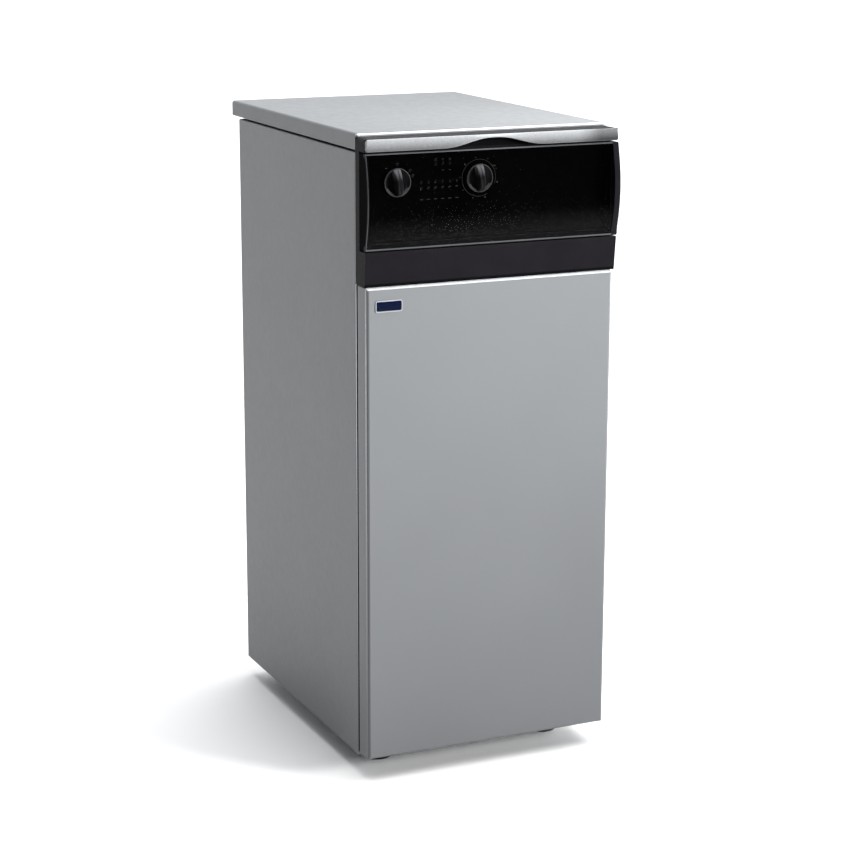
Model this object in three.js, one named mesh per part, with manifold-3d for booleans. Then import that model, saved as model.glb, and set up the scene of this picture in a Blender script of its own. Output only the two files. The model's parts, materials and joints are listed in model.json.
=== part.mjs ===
// Slim floor-standing gas boiler: a sheet-steel casing round a cast-iron sectional heat exchanger with
// an atmospheric burner under it, and a control fascia behind a drop-down flap.
// Millimetres, +Z up, front towards -Y. The origin is on the floor, under the centre of the whole object.
import * as THREE from "three";
import { mergeVertices } from "three/addons/utils/BufferGeometryUtils.js";
import Module from "manifold-3d";

const wasm = await Module();
wasm.setup();

// ---------------------------------------------------------------- driving dimensions

const GAP = 0.3; // clearance between pieces that touch
const SHEET = 1; // casing steel

const CASING = { half: 175, bottom: 27, panelTop: 826.5, top: 850 };
const DOOR = { front: -283, rear: -255, bottom: 31, top: 660, returnWidth: 13 };
const PANEL = { front: -250, rear: 178, flange: 15 };
const LID = { front: -254.6, rear: 207, bottom: 829.4 };
const REAR_PANEL = { front: 175.7, rear: 176.7, half: 173.7, bottom: 28.4, top: 825.2 };

const FASCIA = { half: 177, rear: -255, bottom: 661, apronTop: 705, headBottom: 829.5, headFront: -286, top: 845.8 };
const CHEEK = { front: -268, inner: 172 };
const BACK_WALL = { front: -271.7, rear: -269.2, half: 174.2 };
const PLATE = { front: -275, rear: -272, half: 173.8, bottom: 714, top: 826 };
const FLAP = { foot: -288, bulge: 9, top: 827.5, skin: 2.5, returnRear: -268.8, axisY: -285, axisZ: 710, barrel: 3.9 };
const NOTCH = { half: 74, top: 841.2 };
const TRIM = { front: -289.3, rear: -286.3, half: 176.5, bottom: 829.8, top: 845.3, corner: 4 };

const KNOB_HEIGHT = 789.5;
const SELECTOR_X = -129.5;
const THERMOSTAT_X = -16;
const KNOB = { radius: 18, rear: -276, face: -279.5, grip: -287.5, spindle: 3 };
const BUSH = { radius: 5, bore: 3.4, hole: 5.5 };
const LAMPS = { firstX: -95.5, pitch: 9.8, rowZ: 787.5, upperZ: 809.8, radius: 1.7, hole: 2.2 };

const SECTION = { half: 115, bottom: 100, top: 590, thickness: 99.7, pitch: 100, firstY: -149.85 };
const CHAMBER = { half: 83, top: 270, corner: 40 };
const FLUE_GAP = { half: 80, depth: 10, top: 500, outletInner: 30 };
const UPPER_PORT = { x: 0, z: 535, radius: 13.5, nipple: 20, pipe: 16.6, nut: 21 };
const LOWER_PORT = { x: -100, z: 125, radius: 9, nipple: 12, pipe: 13, nut: 14.8 };
const WATERWAY = { half: 97, legInner: 89, front: 17, rear: 83, bottom: 106, base: 278, top: 584 };
const NIPPLE = { length: 29.4, seat: 15 };
const TIE_ROD = { x: 104, lowZ: 230, highZ: 560, radius: 5, hole: 5.6, nut: 9, end: 160 };
const JACKET = { half: 135, inner: 115.5, rear: 174, rearInner: 161, bottom: 101, top: 589 };
const COLLECTOR = { half: 100, endY: 148, bottom: 590.3, top: 660, wall: 2 };
const DUCT = { half: 82, bottom: 600, top: 655, end: 179.7 };
const DIVERTER = { half: 95, front: 180, rear: 262, bottom: 585, top: 815, wall: 1.5 };
const SPIGOT = { z: 735, radius: 65, wall: 1.5, end: 297 };

const BURNER_X = [-52, 0, 52];
const BURNER = { half: 18, bottom: 135, shoulder: 156, crown: 168, end: 140, boreZ: 148, bore: 11 };
const THROAT = { radius: 13, mouth: 18, coneY: -165, mouthY: -187 };
const BURNER_PLATE = { half: 92, front: -152.2, rear: -150.2, bottom: 101, top: 278 };
const PORT_SLOTS = { count: 10, width: 4, half: 13, first: -122 };
const MANIFOLD = { front: -235, rear: -215, bottom: 138, top: 158, riserX: 75, riserY: -225, riserR: 9 };
const VALVE = { left: 45, right: 105, front: -245, rear: -190, bottom: 345, top: 445 };
const GAS_PIPE = { x: 148, y: -215, z: 395, radius: 10.5, bore: 7.5, bend: 20, end: 232 };
const WATER_PIPE = { wall: 3, end: 232 };
const ELECTRODE = { x: 26, z: 190, ceramic: 4, wire: 1.2 };
const SIGHT = { z: 235, hole: 11, glass: 14 };

const FOOT = { x: 125, frontY: -198, rearY: 130, pad: 19, stem: 5, top: 46 };
const BASE = { half: 173.7, front: -248.7, rear: 175.4, floor: 28.3, sheet: 2, rim: 60 };
const RAIL = { inner: 88, outer: 110, top: 99.7, end: 150 };
const CROSS = { front: -248.7, rear: -228, bottom: 618, top: 642 };
const STUD = { x: 148, z: 630 };
const CONTROL_BOX = { half: 158, front: -268.9, rear: -185, bottom: 716, top: 822, wall: 2 };
const BADGE = { x: -143.7, z: 635.4, half: 18.5, halfHeight: 7.4, corner: 3 };

// ---------------------------------------------------------------- solids

function toSolid(geometry) {
  const bare = geometry.clone();
  bare.deleteAttribute("normal");
  bare.deleteAttribute("uv");
  const merged = mergeVertices(bare, 1e-4);
  return new wasm.Manifold(
    new wasm.Mesh({
      numProp: 3,
      vertProperties: merged.attributes.position.array,
      triVerts: new Uint32Array(merged.index.array),
    }),
  );
}

function toGeometry(solid) {
  const mesh = solid.getMesh();
  const geometry = new THREE.BufferGeometry();
  geometry.setAttribute("position", new THREE.BufferAttribute(mesh.vertProperties, 3));
  geometry.setIndex(new THREE.BufferAttribute(mesh.triVerts, 1));
  geometry.computeVertexNormals();
  return geometry;
}

const join = (first, ...others) =>
  toGeometry(others.reduce((whole, next) => whole.add(toSolid(next)), toSolid(first)));

const cut = (first, ...tools) =>
  toGeometry(tools.reduce((whole, next) => whole.subtract(toSolid(next)), toSolid(first)));

// A box between two limits on each axis.
function block([x0, x1], [y0, y1], [z0, z1]) {
  return new THREE.BoxGeometry(x1 - x0, y1 - y0, z1 - z0).translate(
    (x0 + x1) / 2,
    (y0 + y1) / 2,
    (z0 + z1) / 2,
  );
}

// A cone or cylinder along an axis: radius r0 at the low end, r1 at the high end. (u, v) is its place
// on the two other axes, in X, Y, Z order.
function cone(axis, [r0, r1], [from, to], [u, v], sides = 20) {
  const geometry = new THREE.CylinderGeometry(r1, r0, to - from, sides);
  const middle = (from + to) / 2;
  if (axis === "x") return geometry.rotateZ(-Math.PI / 2).translate(middle, u, v);
  if (axis === "y") return geometry.translate(u, middle, v);
  return geometry.rotateX(Math.PI / 2).translate(u, v, middle);
}

const rod = (axis, radius, span, place, sides) => cone(axis, [radius, radius], span, place, sides);

// An outline in (y, z) carried along X, in (x, z) along Y, or in (x, y) along Z.
function prism(axis, outline, [from, to], curveSegments = 8) {
  const shape = outline instanceof THREE.Shape ? outline : new THREE.Shape(outline.map(([u, v]) => new THREE.Vector2(u, v)));
  const geometry = new THREE.ExtrudeGeometry(shape, { depth: to - from, bevelEnabled: false, curveSegments });
  const turn = new THREE.Matrix4();
  const [X, Y, Z] = [new THREE.Vector3(1, 0, 0), new THREE.Vector3(0, 1, 0), new THREE.Vector3(0, 0, 1)];
  if (axis === "x") turn.makeBasis(Y, Z, X).setPosition(from, 0, 0);
  if (axis === "y") turn.makeBasis(X, Z, Y.negate()).setPosition(0, to, 0);
  if (axis === "z") turn.setPosition(0, 0, from);
  return geometry.applyMatrix4(turn);
}

// The same limits on the other side of the centre plane.
const mirrored = ([low, high]) => [-high, -low];
const sideSpan = (side, span) => (side > 0 ? span : mirrored(span));

// ---------------------------------------------------------------- casing

function sidePanel(side) {
  const { half, bottom, panelTop } = CASING;
  return cut(
    block(sideSpan(side, [half - PANEL.flange, half]), [PANEL.front, PANEL.rear], [bottom, panelTop]),
    block(
      sideSpan(side, [half - PANEL.flange - 1, half - SHEET]),
      [PANEL.front + SHEET, PANEL.rear - SHEET],
      [bottom + SHEET, panelTop - SHEET],
    ),
  );
}

function rearPanel() {
  const through = [REAR_PANEL.front - 1, REAR_PANEL.rear + 1];
  const airSlots = Array.from({ length: 6 }, (_, i) =>
    block([-40, 40], through, [48 + 14 * i, 54 + 14 * i]),
  );
  return cut(
    block([-REAR_PANEL.half, REAR_PANEL.half], [REAR_PANEL.front, REAR_PANEL.rear], [REAR_PANEL.bottom, REAR_PANEL.top]),
    block([-DUCT.half - 0.5, DUCT.half + 0.5], through, [DUCT.bottom - 0.5, DUCT.top + 0.5]),
    ...[UPPER_PORT, LOWER_PORT].map((port) => rod("y", port.pipe + 2, through, [port.x, port.z], 16)),
    rod("y", GAS_PIPE.radius + 2, through, [GAS_PIPE.x, GAS_PIPE.z]),
    rod("y", 8.4, through, [120, 720], 16),
    ...airSlots,
  );
}

function frontDoor() {
  const { front, rear, bottom, top, returnWidth } = DOOR;
  const half = CASING.half;
  return cut(
    block([-half, half], [front, rear], [bottom, top]),
    block([-half + SHEET, half - SHEET], [front + SHEET, rear - SHEET], [bottom + SHEET, top - SHEET]),
    block(
      [-half + returnWidth, half - returnWidth],
      [rear - 2, rear + 1],
      [bottom + returnWidth, top - returnWidth],
    ),
  );
}

function lid() {
  const half = CASING.half;
  return cut(
    block([-half, half], [LID.front, LID.rear], [LID.bottom, CASING.top]),
    block(
      [-half + SHEET, half - SHEET],
      [LID.front + SHEET, LID.rear - SHEET],
      [LID.bottom - 1, CASING.top - SHEET],
    ),
  );
}

// A tray with a turned-up rim, an air opening under the burner, and two rails that carry the castings.
function baseFrame() {
  const { half, front, rear, floor, sheet, rim } = BASE;
  const tray = cut(
    block([-half, half], [front, rear], [floor, rim]),
    block([-half + sheet, half - sheet], [front + sheet, rear - sheet], [floor + sheet, rim + 1]),
    block([-70, 70], [-120, 120], [floor - 1, floor + sheet + 1]),
    ...footPlaces().map(([x, y]) => rod("z", FOOT.stem + 0.6, [floor - 1, floor + sheet + 1], [x, y], 16)),
  );
  const rails = [-1, 1].map((side) =>
    cut(
      block(sideSpan(side, [RAIL.inner, RAIL.outer]), [-RAIL.end, RAIL.end], [floor + 1, RAIL.top]),
      block(
        sideSpan(side, [RAIL.inner + sheet, RAIL.outer - sheet]),
        [-RAIL.end - 1, RAIL.end + 1],
        [floor + sheet, RAIL.top - sheet],
      ),
    ),
  );
  return join(tray, ...rails);
}

function upperCrossmember() {
  const { front, rear, bottom, top } = CROSS;
  return cut(
    block([-BASE.half, BASE.half], [front, rear], [bottom, top]),
    block([-BASE.half - 1, BASE.half + 1], [front + 1.5, rear + 1], [bottom + 1.5, top - 1.5]),
  );
}

const footPlaces = () =>
  [FOOT.frontY, FOOT.rearY].flatMap((y) => [-FOOT.x, FOOT.x].map((x) => [x, y]));

// Pad, adjusting nut under the base and threaded stem, standing at its own origin.
function levellingFoot() {
  return join(
    rod("z", FOOT.pad, [0, 5], [0, 0], 16),
    cone("z", [FOOT.pad - 3, 9], [4.5, 12], [0, 0], 16),
    rod("z", FOOT.stem, [11, FOOT.top], [0, 0], 8),
    rod("z", 9.5, [19, BASE.floor - GAP], [0, 0], 6),
    rod("z", 9.5, [BASE.floor + BASE.sheet + GAP, 39], [0, 0], 6),
  );
}

// Mushroom-headed stud on the inside of the door.
function doorStud() {
  return join(
    rod("y", 7, [DOOR.front + SHEET + GAP, DOOR.front + 4], [0, 0], 16),
    rod("y", 3, [DOOR.front + 3, -261], [0, 0], 16),
    rod("y", 4.5, [-262, -257], [0, 0], 16),
  );
}

// U-shaped spring catch on the crossmember that the stud pushes into.
function doorClip() {
  return cut(
    block([-8, 8], [-264, CROSS.front - GAP], [-10, 10]),
    block([-6, 6], [-265, -250.5], [-11, 11]),
  );
}

function doorBadge() {
  const { half, halfHeight, corner } = BADGE;
  const shape = new THREE.Shape();
  for (const [turn, x, z] of [[0, 1, 1], [1, -1, 1], [2, -1, -1], [3, 1, -1]]) {
    const start = (turn * Math.PI) / 2;
    shape.absarc(x * (half - corner), z * (halfHeight - corner), corner, start, start + Math.PI / 2);
  }
  return prism("y", shape, [DOOR.front - 1.3, DOOR.front - GAP], 4);
}

// ---------------------------------------------------------------- control fascia

// The flap's outer or inner face as a parabola between its foot and its top.
function flapCurve(shape, foot, [fromZ, toZ]) {
  shape.quadraticCurveTo(foot - 2 * FLAP.bulge, (fromZ + toZ) / 2, foot, toZ);
}

// Outline of the curved skin with the hinge barrel at its foot and a lip along its top.
function flapSkin() {
  const { foot, top, skin, axisY, axisZ, barrel } = FLAP;
  const outline = new THREE.Shape();
  outline.moveTo(foot, axisZ);
  flapCurve(outline, foot, [axisZ, top]);
  outline.lineTo(foot + 7, top);
  outline.lineTo(foot + 7, top - skin);
  outline.lineTo(foot + skin, top - skin);
  flapCurve(outline, foot + skin, [top - skin, axisZ + 2]);
  outline.lineTo(foot, axisZ);
  return join(
    prism("x", outline, [-FASCIA.half, FASCIA.half], 10),
    rod("x", barrel, [-FASCIA.half, FASCIA.half], [axisY, axisZ], 16),
  );
}

// A flat cheek from the skin back to the fascia, at each end of the flap.
function flapReturn(side) {
  const { foot, top, returnRear, axisZ } = FLAP;
  const outline = new THREE.Shape();
  outline.moveTo(foot + 0.5, axisZ);
  flapCurve(outline, foot + 0.5, [axisZ, top]);
  outline.lineTo(returnRear, top);
  outline.lineTo(returnRear, axisZ - 3);
  outline.lineTo(foot + 3, axisZ - 3);
  return prism("x", outline, sideSpan(side, [FASCIA.half - FLAP.skin, FASCIA.half]), 10);
}

function flap() {
  const { axisY, axisZ } = FLAP;
  const whole = join(flapSkin(), flapReturn(-1), flapReturn(1));
  const pockets = [-1, 1].flatMap((side) => [
    block(sideSpan(side, [170.4, 174.5]), [axisY - 2.2, axisY + 12], [axisZ - 6, axisZ + 4]),
    rod("x", 1.6, sideSpan(side, [174, 176.4]), [axisY, axisZ], 12),
  ]);
  return cut(whole, ...pockets);
}

// The arm, boss and pin on the fascia that the flap turns on.
function hingeLug(side) {
  const { axisY, axisZ } = FLAP;
  const span = sideSpan(side, [171, 174.1]);
  return join(
    block(span, [axisY, BACK_WALL.front + 1], [axisZ - 1.1, axisZ + 1.9]),
    rod("x", 1.9, span, [axisY, axisZ], 12),
    rod("x", 1.2, sideSpan(side, [173.5, 176]), [axisY, axisZ], 12),
  );
}

function fasciaFrame() {
  const { half, rear, bottom, apronTop, headBottom, headFront, top } = FASCIA;
  const lip = FLAP.foot;
  const apronFoot = DOOR.front - 0.5;
  const apron = prism(
    "x",
    [[lip, apronTop], [apronFoot, bottom], [apronFoot + 3, bottom], [lip + 3, apronTop]],
    [-half, half],
  );
  const ledge = block([-half, half], [lip + 2.5, BACK_WALL.rear], [apronTop - 2.5, apronTop]);
  const wall = block(
    [-BACK_WALL.half, BACK_WALL.half],
    [BACK_WALL.front, BACK_WALL.rear],
    [apronTop - 2.5, headBottom + 1],
  );
  const cheeks = [-1, 1].flatMap((side) => [
    prism(
      "x",
      [[lip, apronTop], [apronFoot, bottom], [rear, bottom], [rear, apronTop]],
      sideSpan(side, [half - 2.5, half]),
    ),
    block(sideSpan(side, [CHEEK.inner, half]), [CHEEK.front, rear], [apronTop - 1, headBottom + 1]),
    block(sideSpan(side, [CHEEK.inner, BACK_WALL.half]), [BACK_WALL.rear - 1, CHEEK.front + 1], [apronTop - 1, headBottom + 1]),
  ]);
  const head = cut(
    block([-half, half], [headFront, rear], [headBottom, top]),
    ...[-1, 1].map((side) =>
      block(sideSpan(side, [NOTCH.half + 10, half - 2.5]), [headFront + 2.5, rear + 1], [headBottom - 1, top - 2.5]),
    ),
    new THREE.SphereGeometry(1, 16, 8).scale(62, 11, 10).translate(0, headFront, headBottom + 1.5),
  );
  const whole = join(head, wall, ledge, apron, ...cheeks, hingeLug(-1), hingeLug(1));
  return cut(whole, ...plateHoles([BACK_WALL.front - 1, BACK_WALL.rear + 1]));
}

const lampPlaces = () => [
  ...Array.from({ length: 6 }, (_, i) => [LAMPS.firstX + LAMPS.pitch * i, LAMPS.rowZ]),
  ...Array.from({ length: 3 }, (_, i) => [LAMPS.firstX + LAMPS.pitch * (i + 2), LAMPS.upperZ]),
];

function plateHoles(span) {
  return [
    ...[SELECTOR_X, THERMOSTAT_X].map((x) => rod("y", BUSH.hole, span, [x, KNOB_HEIGHT], 12)),
    ...lampPlaces().map((place) => rod("y", LAMPS.hole, span, place, 6)),
  ];
}

function controlPlate() {
  return cut(
    block([-PLATE.half, PLATE.half], [PLATE.front, PLATE.rear], [PLATE.bottom, PLATE.top]),
    ...plateHoles([PLATE.front - 1, PLATE.rear + 1]),
  );
}

// The metal-look bar across the top, its lower edge arched for a fingertip.
function trimBar() {
  const { half, bottom, top, corner } = TRIM;
  const shape = new THREE.Shape();
  shape.moveTo(-half, bottom);
  shape.lineTo(-NOTCH.half, bottom);
  shape.bezierCurveTo(-NOTCH.half + 32, bottom, -32, NOTCH.top, 0, NOTCH.top);
  shape.bezierCurveTo(32, NOTCH.top, NOTCH.half - 32, bottom, NOTCH.half, bottom);
  shape.lineTo(half, bottom);
  shape.lineTo(half, top - corner);
  shape.absarc(half - corner, top - corner, corner, 0, Math.PI / 2);
  shape.lineTo(-half + corner, top);
  shape.absarc(-half + corner, top - corner, corner, Math.PI / 2, Math.PI);
  return prism("y", shape, [TRIM.front, TRIM.rear], 6);
}

// Clear moulding behind the plate, with a short pin in each lamp hole.
function lightGuide() {
  const left = LAMPS.firstX - 6;
  return join(
    block([left, left + 6 * LAMPS.pitch + 3], [-268.6, -264.6], [LAMPS.rowZ - 6, LAMPS.upperZ + 6]),
    ...lampPlaces().map((place) => rod("y", LAMPS.radius, [PLATE.front - 0.2, -268], place, 6)),
  );
}

// ---------------------------------------------------------------- controls

// Round skirt, raised grip bar that widens towards its pointer end, and the spindle behind.
function controlKnob() {
  const grip = prism("x", [[KNOB.face + 1, -17], [KNOB.face - 3, -16], [KNOB.grip, -8], [KNOB.grip, 12], [KNOB.face - 5, 16.5], [KNOB.face + 1, 17]], [-4.5, 4.5]);
  return join(
    cone("y", [KNOB.radius - 0.8, KNOB.radius], [KNOB.face, KNOB.rear], [0, 0], 24),
    grip,
    rod("y", KNOB.spindle, [KNOB.rear - 1, -256], [0, 0], 12),
  );
}

function bushed(body) {
  return cut(
    join(body, rod("y", BUSH.radius, [KNOB.rear + 0.4, -268], [0, 0], 16)),
    rod("y", BUSH.bore, [KNOB.rear - 1, -252], [0, 0], 12),
  );
}

const switchRear = -236;
const selectorSwitch = () => bushed(block([-18, 18], [BACK_WALL.rear + 0.4, switchRear], [-18, 18]));
const thermostatBody = () => bushed(rod("y", 19, [BACK_WALL.rear + 0.4, switchRear], [0, 0], 24));

function controlBox() {
  const { half, front, rear, bottom, top, wall } = CONTROL_BOX;
  return cut(
    block([-half, half], [front, rear], [bottom, top]),
    block([-half + wall, half - wall], [front - 1, rear - wall], [bottom + wall, top - wall]),
    rod("y", 9, [rear - 5, rear + 1], [120, 735], 16),
  );
}

// Board with its transformer, two relays, fuse and terminal strip.
function circuitBoard() {
  return join(
    block([20, 150], [-225, -223.4], [725, 812]),
    block([28, 62], [-252, -224], [732, 768]),
    block([72, 90], [-242, -224], [734, 762]),
    block([96, 114], [-242, -224], [734, 762]),
    block([122, 144], [-236, -224], [736, 742]),
    block([30, 140], [-238, -224], [796, 808]),
  );
}

function cableGland() {
  return cut(
    join(
      rod("y", 8, [167, 180], [0, 0], 16),
      rod("y", 12, [168, REAR_PANEL.front - GAP], [0, 0], 6),
      rod("y", 12, [REAR_PANEL.rear + GAP, 184], [0, 0], 6),
      cone("y", [10, 7], [183.5, 195], [0, 0], 16),
    ),
    rod("y", 4, [166, 196], [0, 0], 12),
  );
}

// ---------------------------------------------------------------- heat exchanger

// Inverted U of the section, seen from the front, with a vaulted firebox below.
function sectionOutline() {
  const { half, bottom, top } = SECTION;
  const { half: inner, top: crown, corner } = CHAMBER;
  const shape = new THREE.Shape();
  shape.moveTo(-half, bottom);
  shape.lineTo(-inner, bottom);
  shape.lineTo(-inner, crown - corner);
  shape.absarc(-inner + corner, crown - corner, corner, Math.PI, Math.PI / 2, true);
  shape.lineTo(inner - corner, crown);
  shape.absarc(inner - corner, crown - corner, corner, Math.PI / 2, 0, true);
  shape.lineTo(inner, bottom);
  shape.lineTo(half, bottom);
  shape.lineTo(half, top - 8);
  shape.lineTo(half - 8, top);
  shape.lineTo(-half + 8, top);
  shape.lineTo(-half, top - 8);
  return shape;
}

// The hollow on one face of a casting that makes a flue passage with its neighbour.
function flueHollow([from, to]) {
  const { half, top, outletInner } = FLUE_GAP;
  return [
    block([-half, half], [from, to], [CHAMBER.top - CHAMBER.corner, top]),
    block([-half, -outletInner], [from, to], [top - 1, SECTION.top + 1]),
    block([outletInner, half], [from, to], [top - 1, SECTION.top + 1]),
  ];
}

// One casting, standing at its own front face. open.front and open.rear say where a neighbour joins it.
function castSection(open) {
  const deep = SECTION.thickness;
  const beyond = [-1, deep + 1];
  const tools = [-1, 1].flatMap((side) =>
    [TIE_ROD.lowZ, TIE_ROD.highZ].map((z) => rod("y", TIE_ROD.hole, beyond, [side * TIE_ROD.x, z], 8)),
  );
  tools.push(rod("y", LOWER_PORT.radius, beyond, [LOWER_PORT.x, LOWER_PORT.z], 10));
  tools.push(rod("y", UPPER_PORT.radius, [open.front ? -1 : 15, deep + 1], [UPPER_PORT.x, UPPER_PORT.z], 12));
  if (open.front) tools.push(...flueHollow([-1, FLUE_GAP.depth]), ...nippleSeats([-1, NIPPLE.seat]));
  if (open.rear)
    tools.push(...flueHollow([deep - FLUE_GAP.depth, deep + 1]), ...nippleSeats([deep - NIPPLE.seat, deep + 1]));
  return cut(prism("y", sectionOutline(), [0, deep], 4), ...waterway(), ...tools);
}

// The water space inside a casting: over the firebox and down both legs. The ports open into it.
function waterway() {
  const { half, legInner, front, rear, bottom, base, top } = WATERWAY;
  return [
    block([-half, half], [front, rear], [base, top]),
    ...[-1, 1].map((side) => block(sideSpan(side, [legInner, half]), [front, rear], [bottom, base + 1])),
  ];
}

const nippleSeats = (span) =>
  [UPPER_PORT, LOWER_PORT].map((port) => rod("y", port.nipple + GAP, span, [port.x, port.z], 16));

function nipple(port) {
  const end = NIPPLE.length / 2;
  return cut(
    rod("y", port.nipple - 0.4, [-end, end], [0, 0], 16),
    rod("y", port.nipple - 4, [-end - 1, end + 1], [0, 0], 12),
  );
}

function tieRod() {
  const face = SECTION.pitch * 1.5 + GAP;
  return join(
    rod("y", TIE_ROD.radius, [-TIE_ROD.end, TIE_ROD.end], [0, 0], 8),
    rod("y", TIE_ROD.nut, [-face - 7, -face], [0, 0], 6),
    rod("y", TIE_ROD.nut, [face, face + 7], [0, 0], 6),
  );
}

// Wool blanket round the sides and the back of the castings.
function insulationJacket() {
  const { half, inner, rear, rearInner, bottom, top } = JACKET;
  const through = [rearInner - 1, rear + 1];
  return cut(
    block([-half, half], [-150, rear], [bottom, top]),
    block([-inner, inner], [-151, rearInner], [bottom - 1, top + 1]),
    ...[UPPER_PORT, LOWER_PORT].map((port) => rod("y", port.pipe + 6, through, [port.x, port.z], 14)),
  );
}

// Hood over the castings, open below, with a flat duct to the rear.
function flueCollector() {
  const { half, endY, bottom, top, wall } = COLLECTOR;
  return cut(
    join(
      block([-half, half], [-endY, endY], [bottom, top]),
      block([-DUCT.half, DUCT.half], [endY - 1, DUCT.end], [DUCT.bottom, DUCT.top]),
    ),
    block([-half + wall, half - wall], [-endY + wall, endY - wall], [bottom - 1, top - wall]),
    block([-DUCT.half + wall, DUCT.half - wall], [endY - wall - 1, DUCT.end + 1], [DUCT.bottom + wall, DUCT.top - wall]),
  );
}

// Draught diverter on the back: open below, flue spigot at the rear.
function draughtDiverter() {
  const { half, front, rear, bottom, top, wall } = DIVERTER;
  return cut(
    join(
      block([-half, half], [front, rear], [bottom, top]),
      rod("y", SPIGOT.radius, [rear - 1, SPIGOT.end], [0, SPIGOT.z], 40),
    ),
    block([-half + wall, half - wall], [front + wall, rear - wall], [bottom - 1, top - wall]),
    rod("y", SPIGOT.radius - SPIGOT.wall, [rear - 3, SPIGOT.end + 1], [0, SPIGOT.z], 40),
    block(
      [-DUCT.half + 2, DUCT.half - 2],
      [front - 1, front + wall + 1],
      [DUCT.bottom + 2, DUCT.top - 2],
    ),
  );
}

// ---------------------------------------------------------------- burner

// One bar: a domed stainless tube with gas ports across its crown and a flared mouth at the front.
function burnerBar() {
  const { half, bottom, shoulder, crown, end, boreZ, bore } = BURNER;
  const section = new THREE.Shape();
  section.moveTo(-half, bottom + 4);
  section.lineTo(-half + 4, bottom);
  section.lineTo(half - 4, bottom);
  section.lineTo(half, bottom + 4);
  section.lineTo(half, shoulder);
  section.quadraticCurveTo(half - 2, crown, 0, crown);
  section.quadraticCurveTo(-half + 2, crown, -half, shoulder);
  const slots = Array.from({ length: PORT_SLOTS.count }, (_, i) => {
    const y = PORT_SLOTS.first + (i * -2 * PORT_SLOTS.first) / (PORT_SLOTS.count - 1);
    return block(
      [-PORT_SLOTS.half, PORT_SLOTS.half],
      [y - PORT_SLOTS.width / 2, y + PORT_SLOTS.width / 2],
      [boreZ + 4, crown + 1],
    );
  });
  return cut(
    join(
      prism("y", section, [-end, end], 3),
      rod("y", THROAT.radius, [THROAT.coneY - 1, -end + 1], [0, boreZ], 12),
      cone("y", [THROAT.mouth, THROAT.radius], [THROAT.mouthY, THROAT.coneY], [0, boreZ], 12),
    ),
    rod("y", bore, [THROAT.coneY - 1, end - 4], [0, boreZ], 8),
    cone("y", [THROAT.mouth - 1.5, bore], [THROAT.mouthY - 1, THROAT.coneY + 1], [0, boreZ], 8),
    ...slots,
  );
}

function burnerPlate() {
  const through = [BURNER_PLATE.front - 1, BURNER_PLATE.rear + 1];
  return cut(
    block(
      [-BURNER_PLATE.half, BURNER_PLATE.half],
      [BURNER_PLATE.front, BURNER_PLATE.rear],
      [BURNER_PLATE.bottom, BURNER_PLATE.top],
    ),
    ...BURNER_X.map((x) => rod("y", THROAT.radius + 0.6, through, [x, BURNER.boreZ], 16)),
    ...[-1, 1].map((side) => rod("y", ELECTRODE.ceramic + 0.4, through, [side * ELECTRODE.x, ELECTRODE.z], 12)),
    rod("y", SIGHT.hole, through, [0, SIGHT.z], 20),
    rod("y", 13, through, [LOWER_PORT.x, LOWER_PORT.z], 20),
  );
}

const sightGlass = () =>
  rod("y", SIGHT.glass, [BURNER_PLATE.front - GAP - 3, BURNER_PLATE.front - GAP], [0, 0], 24);

// Angle across the back of the firebox that the bars rest on.
function burnerSupport() {
  return join(
    block([-78, 78], [108, 122], [BURNER.bottom - GAP - 2, BURNER.bottom - GAP]),
    block([-78, 78], [120, 122], [112, BURNER.bottom - GAP]),
  );
}

function gasManifold() {
  const { front, rear, bottom, top, riserX, riserY, riserR } = MANIFOLD;
  return join(
    block([-72, 90], [front, rear], [bottom, top]),
    rod("z", riserR, [top - 1, VALVE.bottom - GAP], [riserX, riserY], 16),
    rod("z", 14, [VALVE.bottom - 7, VALVE.bottom - GAP], [riserX, riserY], 6),
  );
}

function injector() {
  return join(
    rod("y", 7, [MANIFOLD.rear + GAP, MANIFOLD.rear + 7], [0, 0], 6),
    cone("y", [5, 3], [MANIFOLD.rear + 6.5, MANIFOLD.rear + 17], [0, 0], 12),
  );
}

// Ceramic insulator through the plate, with its wire bent down over a bar.
function electrode() {
  return join(
    rod("y", ELECTRODE.ceramic, [-186, -134], [0, 0], 12),
    rod("y", ELECTRODE.wire, [-135, -112], [0, 0], 8),
    rod("z", ELECTRODE.wire, [-14, 0.6], [0, -113], 8),
    rod("y", 2, [-196, -185], [0, 0], 8),
  );
}

// Combination valve: body, two solenoid heads, inlet boss and pressure tapping.
function gasValve() {
  const { left, right, front, rear, bottom, top } = VALVE;
  return join(
    block([left, right], [front + 12, rear], [bottom, top - 25]),
    block([left + 6, right - 26], [front, rear - 8], [bottom + 20, top - 34]),
    rod("z", 14, [top - 26, top], [left + 17, -214], 20),
    rod("z", 11, [top - 26, top - 6], [right - 15, -214], 20),
    rod("x", 14, [right - 1, right + 5], [GAS_PIPE.y, GAS_PIPE.z], 16),
    rod("y", 4, [front + 4, front + 13], [right - 12, bottom + 14], 10),
  );
}

// ---------------------------------------------------------------- pipes

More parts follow.
